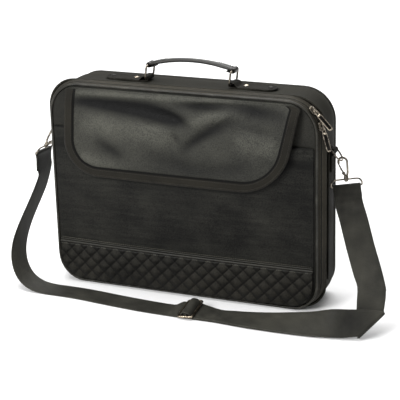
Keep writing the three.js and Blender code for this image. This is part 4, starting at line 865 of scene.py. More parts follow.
def pocket_relief(x, z):
    """What stands off the plain face: a rolled mouth, a dent below it and long shallow waves."""
    mouth = 1.0 * np.exp(-((z - 229) / 5.0) ** 2)
    dent = -1.0 * np.exp(-((z - 217) / 6.0) ** 2) * np.clip((np.abs(x) - 150) / 30, 0, 1)
    wave = 0.35 * ripple(x + 0.5 * z, 31, 160.0) + 0.2 * ripple(z - 0.2 * x, 32, 70.0)
    return mouth + dent + wave * np.clip((z - 55) / 30, 0, 1)


def sheet_rings(outer, inner):
    """Rows that go along the outer face and back along the inner one."""
    return np.concatenate([outer, inner[:, ::-1]], axis=1)


def corner_rows(low, top, count):
    """Heights that follow a quarter circle, close together at its foot."""
    return lerp(low, top, 1 - np.cos(np.pi / 2 * np.arange(count) / count))


def sheet(name, z, columns, half_at, outer_at, inner_at, wear_at=None, crease=55):
    """Closed wall between two faces given as functions of x and height."""
    u = np.linspace(-1, 1, columns)[None, :]
    z = z[:, None]
    left, right = half_at if isinstance(half_at, tuple) else (half_at, half_at)
    x = u * np.where(u < 0, left(z), right(z))
    zz = np.broadcast_to(z, x.shape)
    outer = np.stack([x, outer_at(u + 0 * z, x, zz), zz], -1)
    inner = np.stack([x, inner_at(u + 0 * z, x, zz), zz], -1)
    rings = sheet_rings(outer, inner)
    uv = np.stack([rings[..., 0], rings[..., 2]], -1)
    wear_and_highlight = None
    if wear_at is not None:
        wear_and_highlight = sheet_rings(wear_at(x, zz), 0 * x)
    return skin(name, rings, "strip", uv, wear_and_highlight, crease)


POCKET_LOW = PANEL_BOTTOM + 2
CORNER_TOP = PANEL_BOTTOM + PANEL_BASE_RADIUS


def make_pocket():
    """Pocket wall from its foot to its mouth, whose edge both faces round off."""
    z = np.concatenate([corner_rows(POCKET_LOW, CORNER_TOP, 14), np.linspace(CORNER_TOP, 210, 44),
                        np.linspace(212, POCKET_HEIGHT - 0.9, 24), [POCKET_HEIGHT]])

    def round_top(zz):
        return 0.5 * np.clip((zz - POCKET_HEIGHT + 0.9) / 0.9, 0, 1)

    return sheet(
        "pocket_leather_face", z, 140, lambda zz: lower_half_width(zz, 2),
        lambda u, x, zz: pocket_face(u, zz) - pocket_relief(x, zz) * (1 - u ** 8) + round_top(zz),
        lambda u, x, zz: pocket_face(u, zz) + POCKET_WALL - round_top(zz),
    )


def quilt_relief(x, z):
    """Padded diamonds: two slanted ridge waves multiplied, then rounded by a root."""
    pitch = 2 * PANEL_HALF / QUILT_COUNT
    a = np.abs(np.sin(np.pi * (x + z) / pitch))
    b = np.abs(np.sin(np.pi * (x - z) / pitch))
    return QUILT_RELIEF * 1.25 * (a * b) ** 0.45


def make_quilt():
    """Padded strip over the pocket's foot: its diamonds flatten towards the upper seam."""
    z = np.concatenate([corner_rows(PANEL_BOTTOM + 3, CORNER_TOP, 34),
                        np.linspace(CORNER_TOP, QUILT_HEIGHT, 24)])
    return sheet(
        "quilt_padding", z, 460, lambda zz: lower_half_width(zz, 3),
        lambda u, x, zz: pocket_face(u, zz) - SEAM_GAP - QUILT_WALL
        - quilt_relief(x, zz) * np.clip((QUILT_HEIGHT - zz) / 2.0, 0, 1) ** 0.5,
        lambda u, x, zz: pocket_face(u, zz) - SEAM_GAP,
        lambda x, zz: np.clip(quilt_relief(x, zz) / QUILT_RELIEF - 0.8, 0, 1) * 0.25,
    )


def quilt_painted_shading(x, y, z):
    """Painted shade along the sewn lines, and painted highlights on each diamond's crown and upper
    slope.
    """
    slope = quilt_relief(x, z - 0.7) - quilt_relief(x, z + 0.7)
    return 0.10 + 0.28 * quilt_relief(x, z) / QUILT_RELIEF + 0.8 * np.clip(slope, -0.2, 0.5)


def on_pocket(x, z, off):
    """Points on the pocket's finished face at x and z, off by a distance towards the front."""
    u = x / lower_half_width(z, 2)
    y = pocket_face(u, z) - pocket_relief(x, z) * (1 - u ** 8) - off
    return np.stack([x + 0 * z, y, z + 0 * x], -1)


def make_quilt_seam():
    """Two cords along the quilt's upper edge, following the pocket's face."""
    x = np.linspace(-193, 193, 200)
    parts = []
    for z, radius, off in ((61.6, 1.5, 1.2), (64.6, 0.8, 0.35)):
        path = on_pocket(x, np.full_like(x, z), off)
        parts.append(tube(path, radius * (1 + 0.05 * ripple(x, int(z), 9.0)), Z, False, 10))
    return merge("quilt_welt", parts, crease=80)


pocket = piece(make_pocket(), pocket_leather, replaces=("front_pocket",))
quilt = piece(mark_tone_and_shade(make_quilt(), quilt_painted_shading), quilt_leather,
              replaces=("quilted_strip",))
piece(make_quilt_seam(), piping_leather)
seam_x = np.linspace(-192, 192, 160)
piece(stitches("pocket_stitches", [
    (on_pocket(seam_x, np.full_like(seam_x, 67.2), 0.1), -Y),
    (on_pocket(seam_x, np.full_like(seam_x, 58.6), 2.6), -Y),
], width=0.42), highlit_seam_thread)


# Flap and its border

FLAP_DROP = np.array([0, .06, .16, .34, .58, .82, 1.0])
FLAP_STAND = np.array([0.0, .34, .62, .8, 1.0, .92, .72])
FOLD_FADE = 16.0

# Folds of the flap, each a row of points: x, z, half width of the fold, and depth (minus sinks)
FLAP_FOLDS = [np.array(rows, float) for rows in (
    [(-166, 287, 4, 0), (-150, 288, 4.5, 2.6), (-60, 289, 4.5, 3.6), (20, 291, 4.5, 4.0),
     (90, 293, 4.5, 3.0), (150, 295, 4, 1.0)],
    [(-172, 276, 7, -1.5), (-140, 275, 9, -5.0), (-95, 273, 11, -6.6), (-50, 270, 12, -7.6),
     (-15, 265, 11, -7.6), (8, 259, 9, -4.6), (26, 252, 7, 0)],
    [(-12, 281, 5, 0), (30, 282, 5.5, -4.4), (75, 284, 7, -4.0), (112, 281, 9, -4.6),
     (150, 278, 10, -2.5)],
    [(-150, 250, 13, 0.5), (-125, 246, 16, 3.0), (-70, 243, 16, 3.2), (-26, 240, 15, 4.6),
     (0, 234, 13, 1)],
    [(-2, 250, 7, 0), (30, 262, 8, 2.6), (59, 271, 9, 4.2), (82, 279, 8, 2.8), (110, 276, 8, 0)],
    [(8, 214, 6, 0), (20, 228, 7, -3.4), (40, 243, 8, -4.4), (60, 255, 8, -4.0), (84, 265, 7, -1.5),
     (100, 268, 7, 0)],
    [(84, 246, 10, 0.5), (106, 239, 15, 4.2), (140, 233, 14, 3.6), (158, 230, 10, 0.5)],
    [(-124, 226, 8, 0), (-110, 217, 9, -3.2), (-92, 207, 9, -3.2), (-74, 197, 8, 0)],
    [(-150, 198, 9, 0.5), (-138, 194, 9, 2.4), (-100, 189, 9, 1.6), (-70, 187, 9, 0)],
    [(-56, 206, 10, 0), (-10, 201, 13, -2.2), (40, 192, 12, -2.8), (90, 200, 11, -1.6),
     (112, 210, 9, 0)],
    [(-60, 262, 4, 0), (-40, 257, 4, -1.2), (-14, 256, 4, -1.0), (4, 250, 4, 0)],
    [(-8, 246, 3.5, 0), (4, 236, 4, -1.8), (12, 222, 4, 0)],
    [(96, 262, 4, 0), (118, 256, 4.5, -1.4), (144, 252, 4, 0)],
    [(50, 260, 2.4, 0), (61, 269, 2.6, -0.9), (74, 277, 2.4, 0)],
    [(60, 257, 2.4, 0), (71, 266, 2.6, -0.9), (84, 273, 2.4, 0)],
    [(90, 247, 2.6, 0), (112, 241, 2.8, -1.0), (136, 237, 2.6, 0)],
    [(94, 239, 2.6, 0), (117, 232, 2.8, -1.0), (144, 228, 2.6, 0)],
    [(100, 230, 2.6, 0), (121, 223, 2.8, -0.9), (142, 220, 2.6, 0)],
    [(-128, 252, 2.6, 0), (-114, 243, 2.8, -0.9), (-104, 232, 2.6, 0)],
    [(-46, 250, 2.6, 0), (-36, 242, 2.8, -0.9), (-30, 232, 2.6, 0)],
)]


def flap_stand(drop):
    """Smooth rise of the flap's stand-off down its length."""
    fine = np.linspace(0, 1, 60)
    rows = np.interp(fine, FLAP_DROP, FLAP_STAND)
    kernel = np.hanning(9) / np.hanning(9).sum()
    soft = np.convolve(np.pad(rows, 4, mode="edge"), kernel, mode="valid")
    return np.interp(drop, fine, np.where(fine < 0.05, rows, soft))


def fold_relief(x, z):
    """Sum of folds: each is a bell across its smoothed line, as wide and deep as at the nearest
    point of the line."""
    x, z = np.broadcast_arrays(x, z)
    total = np.zeros(x.shape)
    for table in FLAP_FOLDS:
        line = smooth(table, 30)
        gap = np.hypot(x[..., None] - line[:, 0], z[..., None] - line[:, 1])
        near = np.argmin(gap, axis=-1)
        total = total + line[near, 3] * np.exp(-(np.min(gap, axis=-1) / line[near, 2]) ** 2)
    return total


def flap_face(x, z):
    """Depth of the flap's outer face: the stand-off bulge with a crown across the width, never less
    than clears the pocket, plus the folds, which fade at the free edge."""
    drop = np.clip((FLAP_TOP - z) / FLAP_LENGTH, 0, 1)
    u = np.clip(np.abs(x) / FLAP_HALF, 0, 1)
    stand = flap_stand(drop)
    pocket = np.clip((POCKET_HEIGHT + 14 - z) / 4, 0, 1) * (POCKET_WALL + 0.75)
    clear = pocket + POCKET_BULGE * (1 - u * u) * np.minimum(drop * 4, 1)
    bulge = np.maximum(FLAP_BULGE * stand * (1 - 0.3 * u ** 4), clear + FLAP_BULGE * 0.3 * stand)
    side = np.clip((FLAP_HALF - BINDING_WIDTH - np.abs(x)) / FOLD_FADE, 0, 1)
    foot = np.clip((z - FLAP_BOTTOM - BINDING_WIDTH) / FOLD_FADE, 0, 1)
    ends = foot * np.clip((FLAP_TOP + 6 - z) / 8, 0, 1)
    bulge = bulge + fold_relief(x, z) * side * ends * 0.9
    bulge = bulge + 0.35 * ripple(x + z, 41, 46.0) * side * ends
    return FRONT_Y - SEAM_GAP - FLAP_WALL - bulge


def upper_half_width(z):
    """Half width inside the panel's round upper corners, less the border's wall."""
    rise = np.maximum(z - PANEL_TOP + PANEL_TOP_RADIUS, 0)
    reach = np.sqrt(np.maximum(PANEL_TOP_RADIUS ** 2 - rise ** 2, 0))
    return PANEL_HALF - PANEL_TOP_RADIUS + reach - BINDING_WALL - 2 * SEAM_GAP


def flap_edge(z, side):
    """The flap's leaning edge on one side of the middle."""
    return FLAP_SHARE[side] * FLAP_WIDTH + FLAP_LEAN[side] * (FLAP_TOP - z)


def flap_half_width(z, inset, side):
    """Width of the flap on one side of the middle: a leaning edge, then the round lower corner."""
    half = np.minimum(flap_edge(z, side), upper_half_width(z)) - inset
    radius = FLAP_CORNER[side] - inset
    rise = np.maximum(FLAP_BOTTOM + inset + radius - z, 0)
    return half - radius + np.sqrt(np.maximum(radius ** 2 - rise ** 2, 0))


FLAP_CORNER_TOP = FLAP_BOTTOM + FLAP_CORNER[1]


def make_flap():
    """Leather wall of the flap, whose inner face never sinks into the front panel."""
    z = np.concatenate([corner_rows(FLAP_BOTTOM, FLAP_CORNER_TOP, 34),
                        np.linspace(FLAP_CORNER_TOP, FLAP_TOP - 8, 44),
                        np.linspace(FLAP_TOP - 7, FLAP_TOP + 2.5, 16)])
    return sheet(
        "flap_face", z, 231,
        (lambda zz: flap_half_width(zz, 0.0, -1), lambda zz: flap_half_width(zz, 0.0, 1)),
        lambda u, x, zz: flap_face(x, zz),
        lambda u, x, zz: np.minimum(flap_face(x, zz) + FLAP_WALL, FRONT_Y - SEAM_GAP),
        crease=60,
    )


def flap_route(inset):
    """The border's route at each inset, as x and z: down one side, round and up the other."""
    inset = np.atleast_1d(inset).astype(float)[:, None]
    low = FLAP_BOTTOM + inset
    halves = []
    for side in (1, -1):
        radius = FLAP_CORNER[side] - inset
        start = FLAP_BOTTOM + FLAP_CORNER[side]
        side_z = np.linspace(FLAP_TOP, start, 30)[None, :-1] + 0 * inset
        angle = np.linspace(0, np.pi / 2, 26)[None]
        z = np.concatenate([side_z, low + radius * (1 - np.sin(angle))], axis=1)
        halves.append((side * flap_half_width(z, inset, side), z))
    (right_x, right_z), (left_x, left_z) = halves
    run = lerp(right_x[:, -1:], left_x[:, -1:], np.linspace(0, 1, 72)[None, 1:-1])
    x = np.concatenate([right_x, run, left_x[:, ::-1]], axis=1)
    z = np.concatenate([right_z, low + 0 * run, left_z[:, ::-1]], axis=1)
    return x, z


# Painted shade on the border by how far in from the flap's edge: dark inner line, dark outer turn
BORDER_SHADE_AT = np.array([-1.7, -0.4, 1.2, 10.6, 11.6, 14.1])
BORDER_SHADE = np.array([0.1, 0.3, 0.45, 0.45, 0.0, 0.0])
# Section of the border: how far in from the flap's edge, and how far it stands off the face
BINDING_SECTION = np.array([
    (14.0, 0.32), (14.1, 0.6), (13.6, 0.8), (12.6, 0.85), (11.8, 0.95), (11.2, 1.5), (10.4, 1.7),
    (5.0, 1.75), (1.5, 1.75),
    (-0.4, 1.55), (-1.4, 1.0), (-1.7, 0.0), (-1.7, -1.2), (-1.4, -2.1), (-0.4, -2.2), (-0.3, -1.6),
    (-0.3, 0.1), (0.2, 0.3), (6.0, 0.3),
])


def make_binding():
    """Webbing folded over the flap's edge: the named section carried along the route."""
    inset, off = BINDING_SECTION.T
    x, z = flap_route(inset)
    y = flap_face(x, z) - off[:, None]
    rings = np.stack([x, y, z], -1).transpose(1, 0, 2)
    s, _ = arc_length(rings[:, 7])
    turn = np.concatenate([[0], np.cumsum(np.hypot(np.diff(inset), np.diff(off)))])
    uv = cloth_map(s[:, None], turn, rings)
    wear_and_highlight = np.zeros(rings.shape[:2])
    wear_and_highlight[:, 9:12] = 0.35
    # Painted shade along the border's inner edge and over its outer turn
    tone = np.interp(inset, BORDER_SHADE_AT, BORDER_SHADE)
    tone = np.append(np.broadcast_to(tone, rings.shape[:2]).ravel(), [0.5, 0.5])
    return mark_tone_and_shade(skin("flap_border", rings, "fan", uv, wear_and_highlight, crease=60), tone)


def border_line(inset, off):
    """Line along the border at an inset from its edge, off the flap's face."""
    x, z = flap_route(inset)
    x, z = x[0, 2:-2], z[0, 2:-2]
    return np.stack([x, flap_face(x, z) - off, z], -1)


def flap_fold_shading(x, y, z):
    """Painted shade in the folds' valleys and painted highlights on their ridges."""
    relief = fold_relief(x, z)
    return 0.5 + np.where(relief > 0, relief / 6.5, relief / 9.5)


def flap_gap(x, z):
    """Distance outside the flap's edge, as from a box with round lower corners."""
    total = np.full(np.broadcast(x, z).shape, 999.0)
    for side in (-1, 1):
        radius = FLAP_CORNER[side]
        a = side * x - (flap_edge(z, side) - radius)
        b = FLAP_BOTTOM + radius - z
        outside = np.hypot(np.maximum(a, 0), np.maximum(b, 0))
        gap = outside + np.minimum(np.maximum(a, b), 0) - radius
        total = np.where(side * x >= 0, gap, total)
    return total


def pocket_streaks_and_shade(x, y, z):
    """Long soft streaks, painted shade under the mouth's hem, at the very top and beside the flap,
    and a painted highlight on the rolled mouth at the right.
    """
    # hem and lip: painted shade; roll: painted highlight; shade: painted shadow cast by the flap
    hem = np.exp(-((z - 211) / 8.0) ** 2) * np.clip((np.abs(x) - 120) / 40, 0, 1)
    roll = np.exp(-((z - 228) / 5.5) ** 2) * np.clip((x - 150) / 12, 0, 1)
    lip = np.clip((z - POCKET_HEIGHT + 3) / 2, 0, 1)
    streaks = 0.16 * ripple(z - 0.06 * x, 33, 14.0) + 0.10 * ripple(x + 2.4 * z, 34, 90.0)
    shade = np.exp(-(np.maximum(flap_gap(x, z), 0) / 5.0) ** 2)
    return 0.5 + streaks - 0.3 * hem + 0.5 * roll - 0.5 * lip - 0.42 * shade


piece(mark_tone_and_shade(make_flap(), flap_fold_shading), flap_leather, replaces=("flap",))
mark_tone_and_shade(pocket, pocket_streaks_and_shade)
piece(make_binding(), binding_webbing, replaces=("flap_binding",))
piece(stitches("border_stitches", [(border_line(9.8, 1.7), -Y), (border_line(1.8, 1.72), -Y)],
               pitch=3.0, length=2.2), thread)


# Top handle

RING_RUN = np.array([np.sin(RING_LEAN), 0.0, np.cos(RING_LEAN)])
GRIP_SHIFT = RING_HEIGHT * np.sin(RING_LEAN)
GRIP_EYE_Z = RING_FOOT_Z + RING_HEIGHT * np.cos(RING_LEAN)


def round_loop(centre, width, height, radius, u, v):
    """Rectangle with round corners in the plane of u and v."""
    parts = []
    for su, sv, start in ((1, 1, 0), (-1, 1, 90), (-1, -1, 180), (1, -1, 270)):
        angle = np.radians(start + np.linspace(0, 90, 7))[:, None]
        corner = centre + u * (su * (width / 2 - radius)) + v * (sv * (height / 2 - radius))
        parts.append(corner + u * radius * np.cos(angle) + v * radius * np.sin(angle))
    return np.concatenate(parts)


def level_face(path):
    """Way that a band faces whose width lies along Y."""
    return unit(np.cross(tangents(path), Y))


def make_handle_tab(side):
    """Leather tab folded round its ring: a band whose path goes along the case, round the ring's
    foot and back on top, narrow at the eye and round at the far end."""
    foot = side * HANDLE_SPAN / 2
    wall = 1.15
    radius = RING_WIRE + LINK_GAP + wall / 2 + 0.4
    angle = np.radians(np.linspace(-90, 90, 13))
    lower_z = TAB_FLOOR + wall / 2 + 0.05
    upper_z = lower_z + wall + 0.05
    run = np.linspace(TAB_LENGTH - 4, 5, 20)
    low = np.stack([foot + side * run, np.zeros(20), np.full(20, lower_z)], -1)
    eye = np.stack([foot - side * radius * np.cos(angle), np.zeros(13),
                    RING_FOOT_Z + radius * np.sin(angle)], -1)
    back = np.linspace(5, TAB_LENGTH, 44)
    drop = np.clip((back - 5) / 7, 0, 1)
    rise = lerp(RING_FOOT_Z + radius, upper_z, drop * drop * (3 - 2 * drop))
    top = np.stack([foot + side * back, np.zeros(44), rise], -1)
    path = np.concatenate([low, eye, top])
    path[:, 1] = HANDLE_Y
    reach = np.abs(path[:, 0] - foot)
    width = np.where(reach < 6, 21.0, np.minimum(21 + (reach - 6) * 0.7, TAB_WIDTH)) / 2
    tip = np.clip(reach - (TAB_LENGTH - TAB_WIDTH / 2), 0, None)
    width = np.sqrt(np.maximum(width ** 2 - tip ** 2, 0.3))
    rings = ribbon(path, Y[None] * width[:, None], level_face(path), wall, columns=11, crown=0.0,
                   edge=0.4)
    wear_and_highlight = np.zeros(rings.shape[:2])
    wear_and_highlight[:, [0, 10, 11, 21]] = 0.8
    return skin(f"handle_tab_{SIDE_NAME[side]}_leather", rings, "strip", None, wear_and_highlight, crease=50)


def tab_outline_path(side, inset):
    """Sewn line round the tab's top face."""
    foot = side * HANDLE_SPAN / 2
    half = TAB_WIDTH / 2 - inset
    end = TAB_LENGTH - TAB_WIDTH / 2
    angle = np.radians(np.linspace(-90, 90, 16))
    x = np.concatenate([[14, end], end + half * np.cos(angle), [end, 14]])
    y = np.concatenate([[-half, -half], half * np.sin(angle), [half, half]])
    return np.stack([foot + side * x, HANDLE_Y + y, np.full_like(x, TAB_FLOOR + 2.42)], -1)


def make_handle_ring(side):
    """Rectangular ring of round wire, leaning with the handle."""
    foot = np.array([side * HANDLE_SPAN / 2, HANDLE_Y, RING_FOOT_Z])
    middle = foot + RING_RUN * RING_HEIGHT / 2
    path = round_loop(middle, RING_WIDTH - 2 * RING_WIRE, RING_HEIGHT, 3.0, Y, RING_RUN)
    path = even(path, 1.2, True)
    rings, ends = tube(path, RING_WIRE, np.cross(Y, RING_RUN), True, 14)
    return skin(f"ring_{SIDE_NAME[side]}_wire", rings, ends, crease=80)


GRIP_ALONG = np.array([-.435, -.33, -.22, -.08, .08, .22, .33, .435])
GRIP_RISE = np.array([.12, .5, .8, 1.0, 1.0, .8, .5, .12])
GRIP_WIDE = np.array([1, .75, .2, 0, 0, .2, .75, 1.0])
GRIP_THICK = np.array([.72, .9, 1, 1, 1, 1, .9, .72])


def grip_path():
    """Smoothed middle line, half width and half thickness of the grip."""
    count = 70
    table = smooth(np.stack([GRIP_ALONG, GRIP_RISE, GRIP_WIDE, GRIP_THICK], -1), 10)
    along = np.linspace(GRIP_ALONG[0], GRIP_ALONG[-1], count)
    rise, wide, thick = (np.interp(along, table[:, 0], table[:, k]) for k in (1, 2, 3))
    path = np.stack([GRIP_SHIFT + along * HANDLE_SPAN * 1.12, np.full(count, HANDLE_Y),
                     GRIP_EYE_Z + rise * HANDLE_ARCH], -1)
    return path, lerp(9.0, 15.0, wide) / 2, thick * 3.0, along


def make_grip():
    """Rolled leather: a rounded cross-section carried along the arch, full and round in the middle,
    flat at the ends, with small creases under the roll and a seam along its underside."""
    path, wide, thick, along = grip_path()
    way = tangents(path)
    up = unit(np.cross(np.broadcast_to(Y, way.shape), way)) * -1
    up = np.where(up[:, 2:] < 0, -up, up)
    angle = 2 * np.pi * np.arange(24) / 24
    power = lerp(1.0, 0.7, np.clip((wide - 4.5) / 3, 0, 1))[:, None]
    c, s = np.cos(angle)[None], np.sin(angle)[None]
    cy = np.sign(c) * np.abs(c) ** power
    cz = np.sign(s) * np.abs(s) ** power
    seam = 1 - 0.12 * np.exp(-((angle - 1.5 * np.pi) / 0.16) ** 2)[None]
    crease = 1 + 0.02 * ripple(path[:, 0], 12, 5.0)[:, None] * (s < 0)
    scale = seam * crease
    rings = (path[:, None] + Y * (cy * wide[:, None] * scale)[..., None]
             + up[:, None] * (cz * thick[:, None] * scale)[..., None])
    # Lighter along the top of the grip's middle: a painted highlight, carried in the wear attribute
    wear_and_highlight = np.clip(s, 0, 1) * np.exp(-(along[:, None] / 0.25) ** 2) * 0.25
    roll = skin("grip_roll", rings, "fan", None, wear_and_highlight, crease=70)
    return roll


def make_grip_end(side):
    """End of the grip folded round the ring's bar: a band that comes off the roll, turns round the
    bar and returns under it."""
    eye = np.array([side * HANDLE_SPAN / 2 + GRIP_SHIFT, HANDLE_Y, GRIP_EYE_Z])
    radius = 3.0
    angle = np.radians(np.linspace(-115, 125, 22))
    turn = eye + side * X * radius * np.cos(angle)[:, None] + Z * radius * np.sin(angle)[:, None]
    inner = np.linspace(1, 0, 8)[1:, None]
    low = eye + np.array([-side * 9.0, 0, -1.0])
    high = eye + np.array([-side * 12.0, 0, 3.0])
    path = np.concatenate([lerp(low, turn[0], np.linspace(0, 1, 8)[:-1, None]), turn,
                           lerp(high, turn[-1], inner)])
    reach = np.abs(path[:, 0] - eye[0] + side * 3)
    half = 7.5 - 0.03 * reach
    rings = ribbon(path, Y[None] * half[:, None], level_face(path), 2.0, columns=9, crown=0.05,
                   edge=0.5)
    return skin(f"grip_end_{SIDE_NAME[side]}", rings, "strip", crease=60)


def make_rivet(x):
    """Domed rivet with a rolled rim."""
    base = np.array([x, HANDLE_Y, TAB_FLOOR + TAB_WALL + 0.1])
    profile = [(2.4, 0), (3.5, 0), (3.75, 0.3), (3.6, 0.65), (3.2, 0.75), (3.0, 0.62), (2.7, 0.95),
               (2.1, 1.3), (1.2, 1.55), (0.4, 1.62)]
    return turned(base, Z, profile, 28)


for side, name in SIDE_NAME.items():
    piece(make_handle_tab(side), trim_leather, replaces=(f"handle_tab_{name}",))
    piece(stitches(f"handle_tab_{name}_stitches", [(tab_outline_path(side, 2.4), Z)], pitch=2.8,
                   length=2.0), thread)
    piece(make_handle_ring(side), gunmetal, f"handle_link_{name}",
          (f"handle_ring_{name}",))
    # The rivets are alike: bright metal paints a glint on the inner one, near-black metal paints
    # shade on the outer one
    for place, share, metal in (("inner", 0.3, painted_glint_metal), ("outer", 0.84, enamel_and_shade)):
        x = side * (HANDLE_SPAN / 2 + share * TAB_LENGTH)
        rivet = merge(f"rivet_{name}_{place}", [make_rivet(x)])
        piece(rivet, metal, replaces=(f"handle_rivet_{name}_{place}",))
    piece(make_grip_end(side), handle_leather, "grip")
piece(make_grip(), handle_leather, "grip", ("handle_grip",))
grip_line, grip_wide, grip_thick, _ = grip_path()
grip_top = grip_line + Z * (grip_thick - 0.25)[:, None]
grip_edge = Y * (grip_wide - 1.6)[:, None]
piece(stitches("grip_stitches", [
    ((grip_top + grip_edge * s)[rows], Z) for rows in (slice(1, 14), slice(56, 69)) for s in (-1, 1)
], pitch=2.6, length=1.9), thread, "grip")


# Sides: strip, tab, ring, snap hook and strap loop

SIDES = {
    "left": {"side": -1, "ring": 40, "hook": 30, "turn": 86},
    "right": {"side": 1, "ring": 38, "hook": 4, "turn": 26},
}
HOOK_LENGTH = 24.0
BOW = np.array([1.2, 2.6])
BOW_RADIUS = 6.2
BOSS_TOP = 22.5
BOSS_END = 25.0
COLLAR_TOP = 25.3
COLLAR_END = 28.7
LOOP_TOP = 27.0
LOOP_HEIGHT = 10.0
SWIVEL_P = 4.6
GATE_PIVOT = np.array([1.4, BOSS_TOP - 3.9])


class SideFrame:
    """Directions and points of one side's hanging hardware, worked out from its leans."""

    def __init__(self, side, ring, hook, turn):
        ring, hook, turn = np.radians([ring, hook, turn])
        self.side = side
        self.ring_down = np.array([side * np.sin(ring), 0, -np.cos(ring)])
        self.eye = np.array([side * SIDE_EYE_X, SIDE_Y, SIDE_EYE_Z])
        self.ring_low = self.eye + self.ring_down * SIDE_RING_DROP
        self.down = np.array([side * np.sin(hook), 0, -np.cos(hook)])
        self.out = np.array([side * np.cos(hook), 0, np.sin(hook)])
        level = np.array([np.cos(turn), np.sin(turn), 0])
        self.bar = unit(level - self.down * (level @ self.down))

    def at(self, p, q):
        """Points at a distance out and down from the ring's foot."""
        p, q = np.broadcast_arrays(np.asarray(p, float), np.asarray(q, float))
        return self.ring_low + self.out * p[..., None] + self.down * q[..., None]


frames = {name: SideFrame(**row) for name, row in SIDES.items()}


TAB_BASE = STRIP_FACE + STRIP_WALL + SEAM_GAP


def make_side_strip(side):
    """Flat leather strip with cut upper corners and rounded edges."""
    half, nib = STRIP_HALF, 6.5
    shape = np.array([(-half, BASE_RADIUS), (half, BASE_RADIUS), (half, STRIP_TOP - nib),
                      (half - nib, STRIP_TOP), (nib - half, STRIP_TOP), (-half, STRIP_TOP - nib)])
    origin = np.array([side * STRIP_FACE, SIDE_Y, 0])
    return rounded_plate(even(shape, 3.0, True), 0, STRIP_WALL, Y, Z, side * X, origin, 0.5)


def side_lines(side):
    """Sewn lines of one side: up the strip, over its cut corners and down, and a box with a cross
    on the tab."""
    half, top, cut = STRIP_HALF - 2.2, STRIP_TOP - 2.2, 5.6
    x = side * (STRIP_FACE + STRIP_WALL + 0.02)
    strip = np.array([(x, SIDE_Y - half, BASE_RADIUS + 3), (x, SIDE_Y - half, top - cut),
                      (x, SIDE_Y - half + cut, top), (x, SIDE_Y + half - cut, top),
                      (x, SIDE_Y + half, top - cut), (x, SIDE_Y + half, BASE_RADIUS + 3)])
    x = side * (TAB_BASE + 2.05)
    front, back = SIDE_Y - 5.2, SIDE_Y + 5.2
    low = SIDE_EYE_Z - 27.5
    high = low + 17
    box = np.array([(x, front, low), (x, back, low), (x, back, high), (x, front, high),
                    (x, front, low)])
    cross = [np.array([(x, y, low), (x, 2 * SIDE_Y - y, high)]) for y in (front, back)]
    return [(path, side * X) for path in (strip, box, *cross)]


def make_side_tab(side):
    """Leather loop for the side ring: a band down the strip, up over the ring's bar and down."""
    wall = 1.0
    radius = HOOK_WIRE + LINK_GAP + wall / 2 + 0.7
    base = TAB_BASE + wall / 2
    low = SIDE_EYE_Z - 30
    angle = np.radians(np.linspace(180, 0, 15))
    up_run = np.linspace(low, SIDE_EYE_Z - 6, 14)
    inner = np.stack([np.full(14, base), up_run], -1)
    bend = np.stack([SIDE_EYE_X + radius * np.cos(angle), SIDE_EYE_Z + radius * np.sin(angle)], -1)
    t = np.linspace(0, 1, 12)
    ease = t * t * (3 - 2 * t)
    outer = np.stack([lerp(SIDE_EYE_X + radius, base + wall + 0.05, ease),
                      lerp(SIDE_EYE_Z - 1, SIDE_EYE_Z - 10, t)], -1)
    tail = np.stack([np.full(12, base + wall + 0.05), np.linspace(SIDE_EYE_Z - 11, low, 12)], -1)
    flat = np.concatenate([inner, bend, outer, tail])
    path = np.stack([side * flat[:, 0], np.full(len(flat), SIDE_Y), flat[:, 1]], -1)
    width = np.broadcast_to(Y * 7.0, path.shape)
    rings = ribbon(path, width, level_face(path), wall, columns=9, crown=0.0)
    return skin(f"side_tab_{SIDE_NAME[side]}_leather", rings, "strip", crease=55)


def make_side_ring(f):
    """D-shaped ring of round wire, hanging from the tab's eye."""
    half = 8.8
    table = np.array([(-half + 1, 0), (half - 1, 0), (half, 0.08), (half, 0.5), (half * 0.8, 0.8),
                      (half * 0.35, 1), (-half * 0.35, 1), (-half * 0.8, 0.8), (-half, 0.5),
                      (-half, 0.08)])
    path = f.eye + Y * table[:, :1] + f.ring_down * table[:, 1:] * SIDE_RING_DROP
    path = even(smooth(path, 8, True), 1.0, True)
    return tube(path, HOOK_WIRE, np.cross(Y, f.ring_down), True, 12)


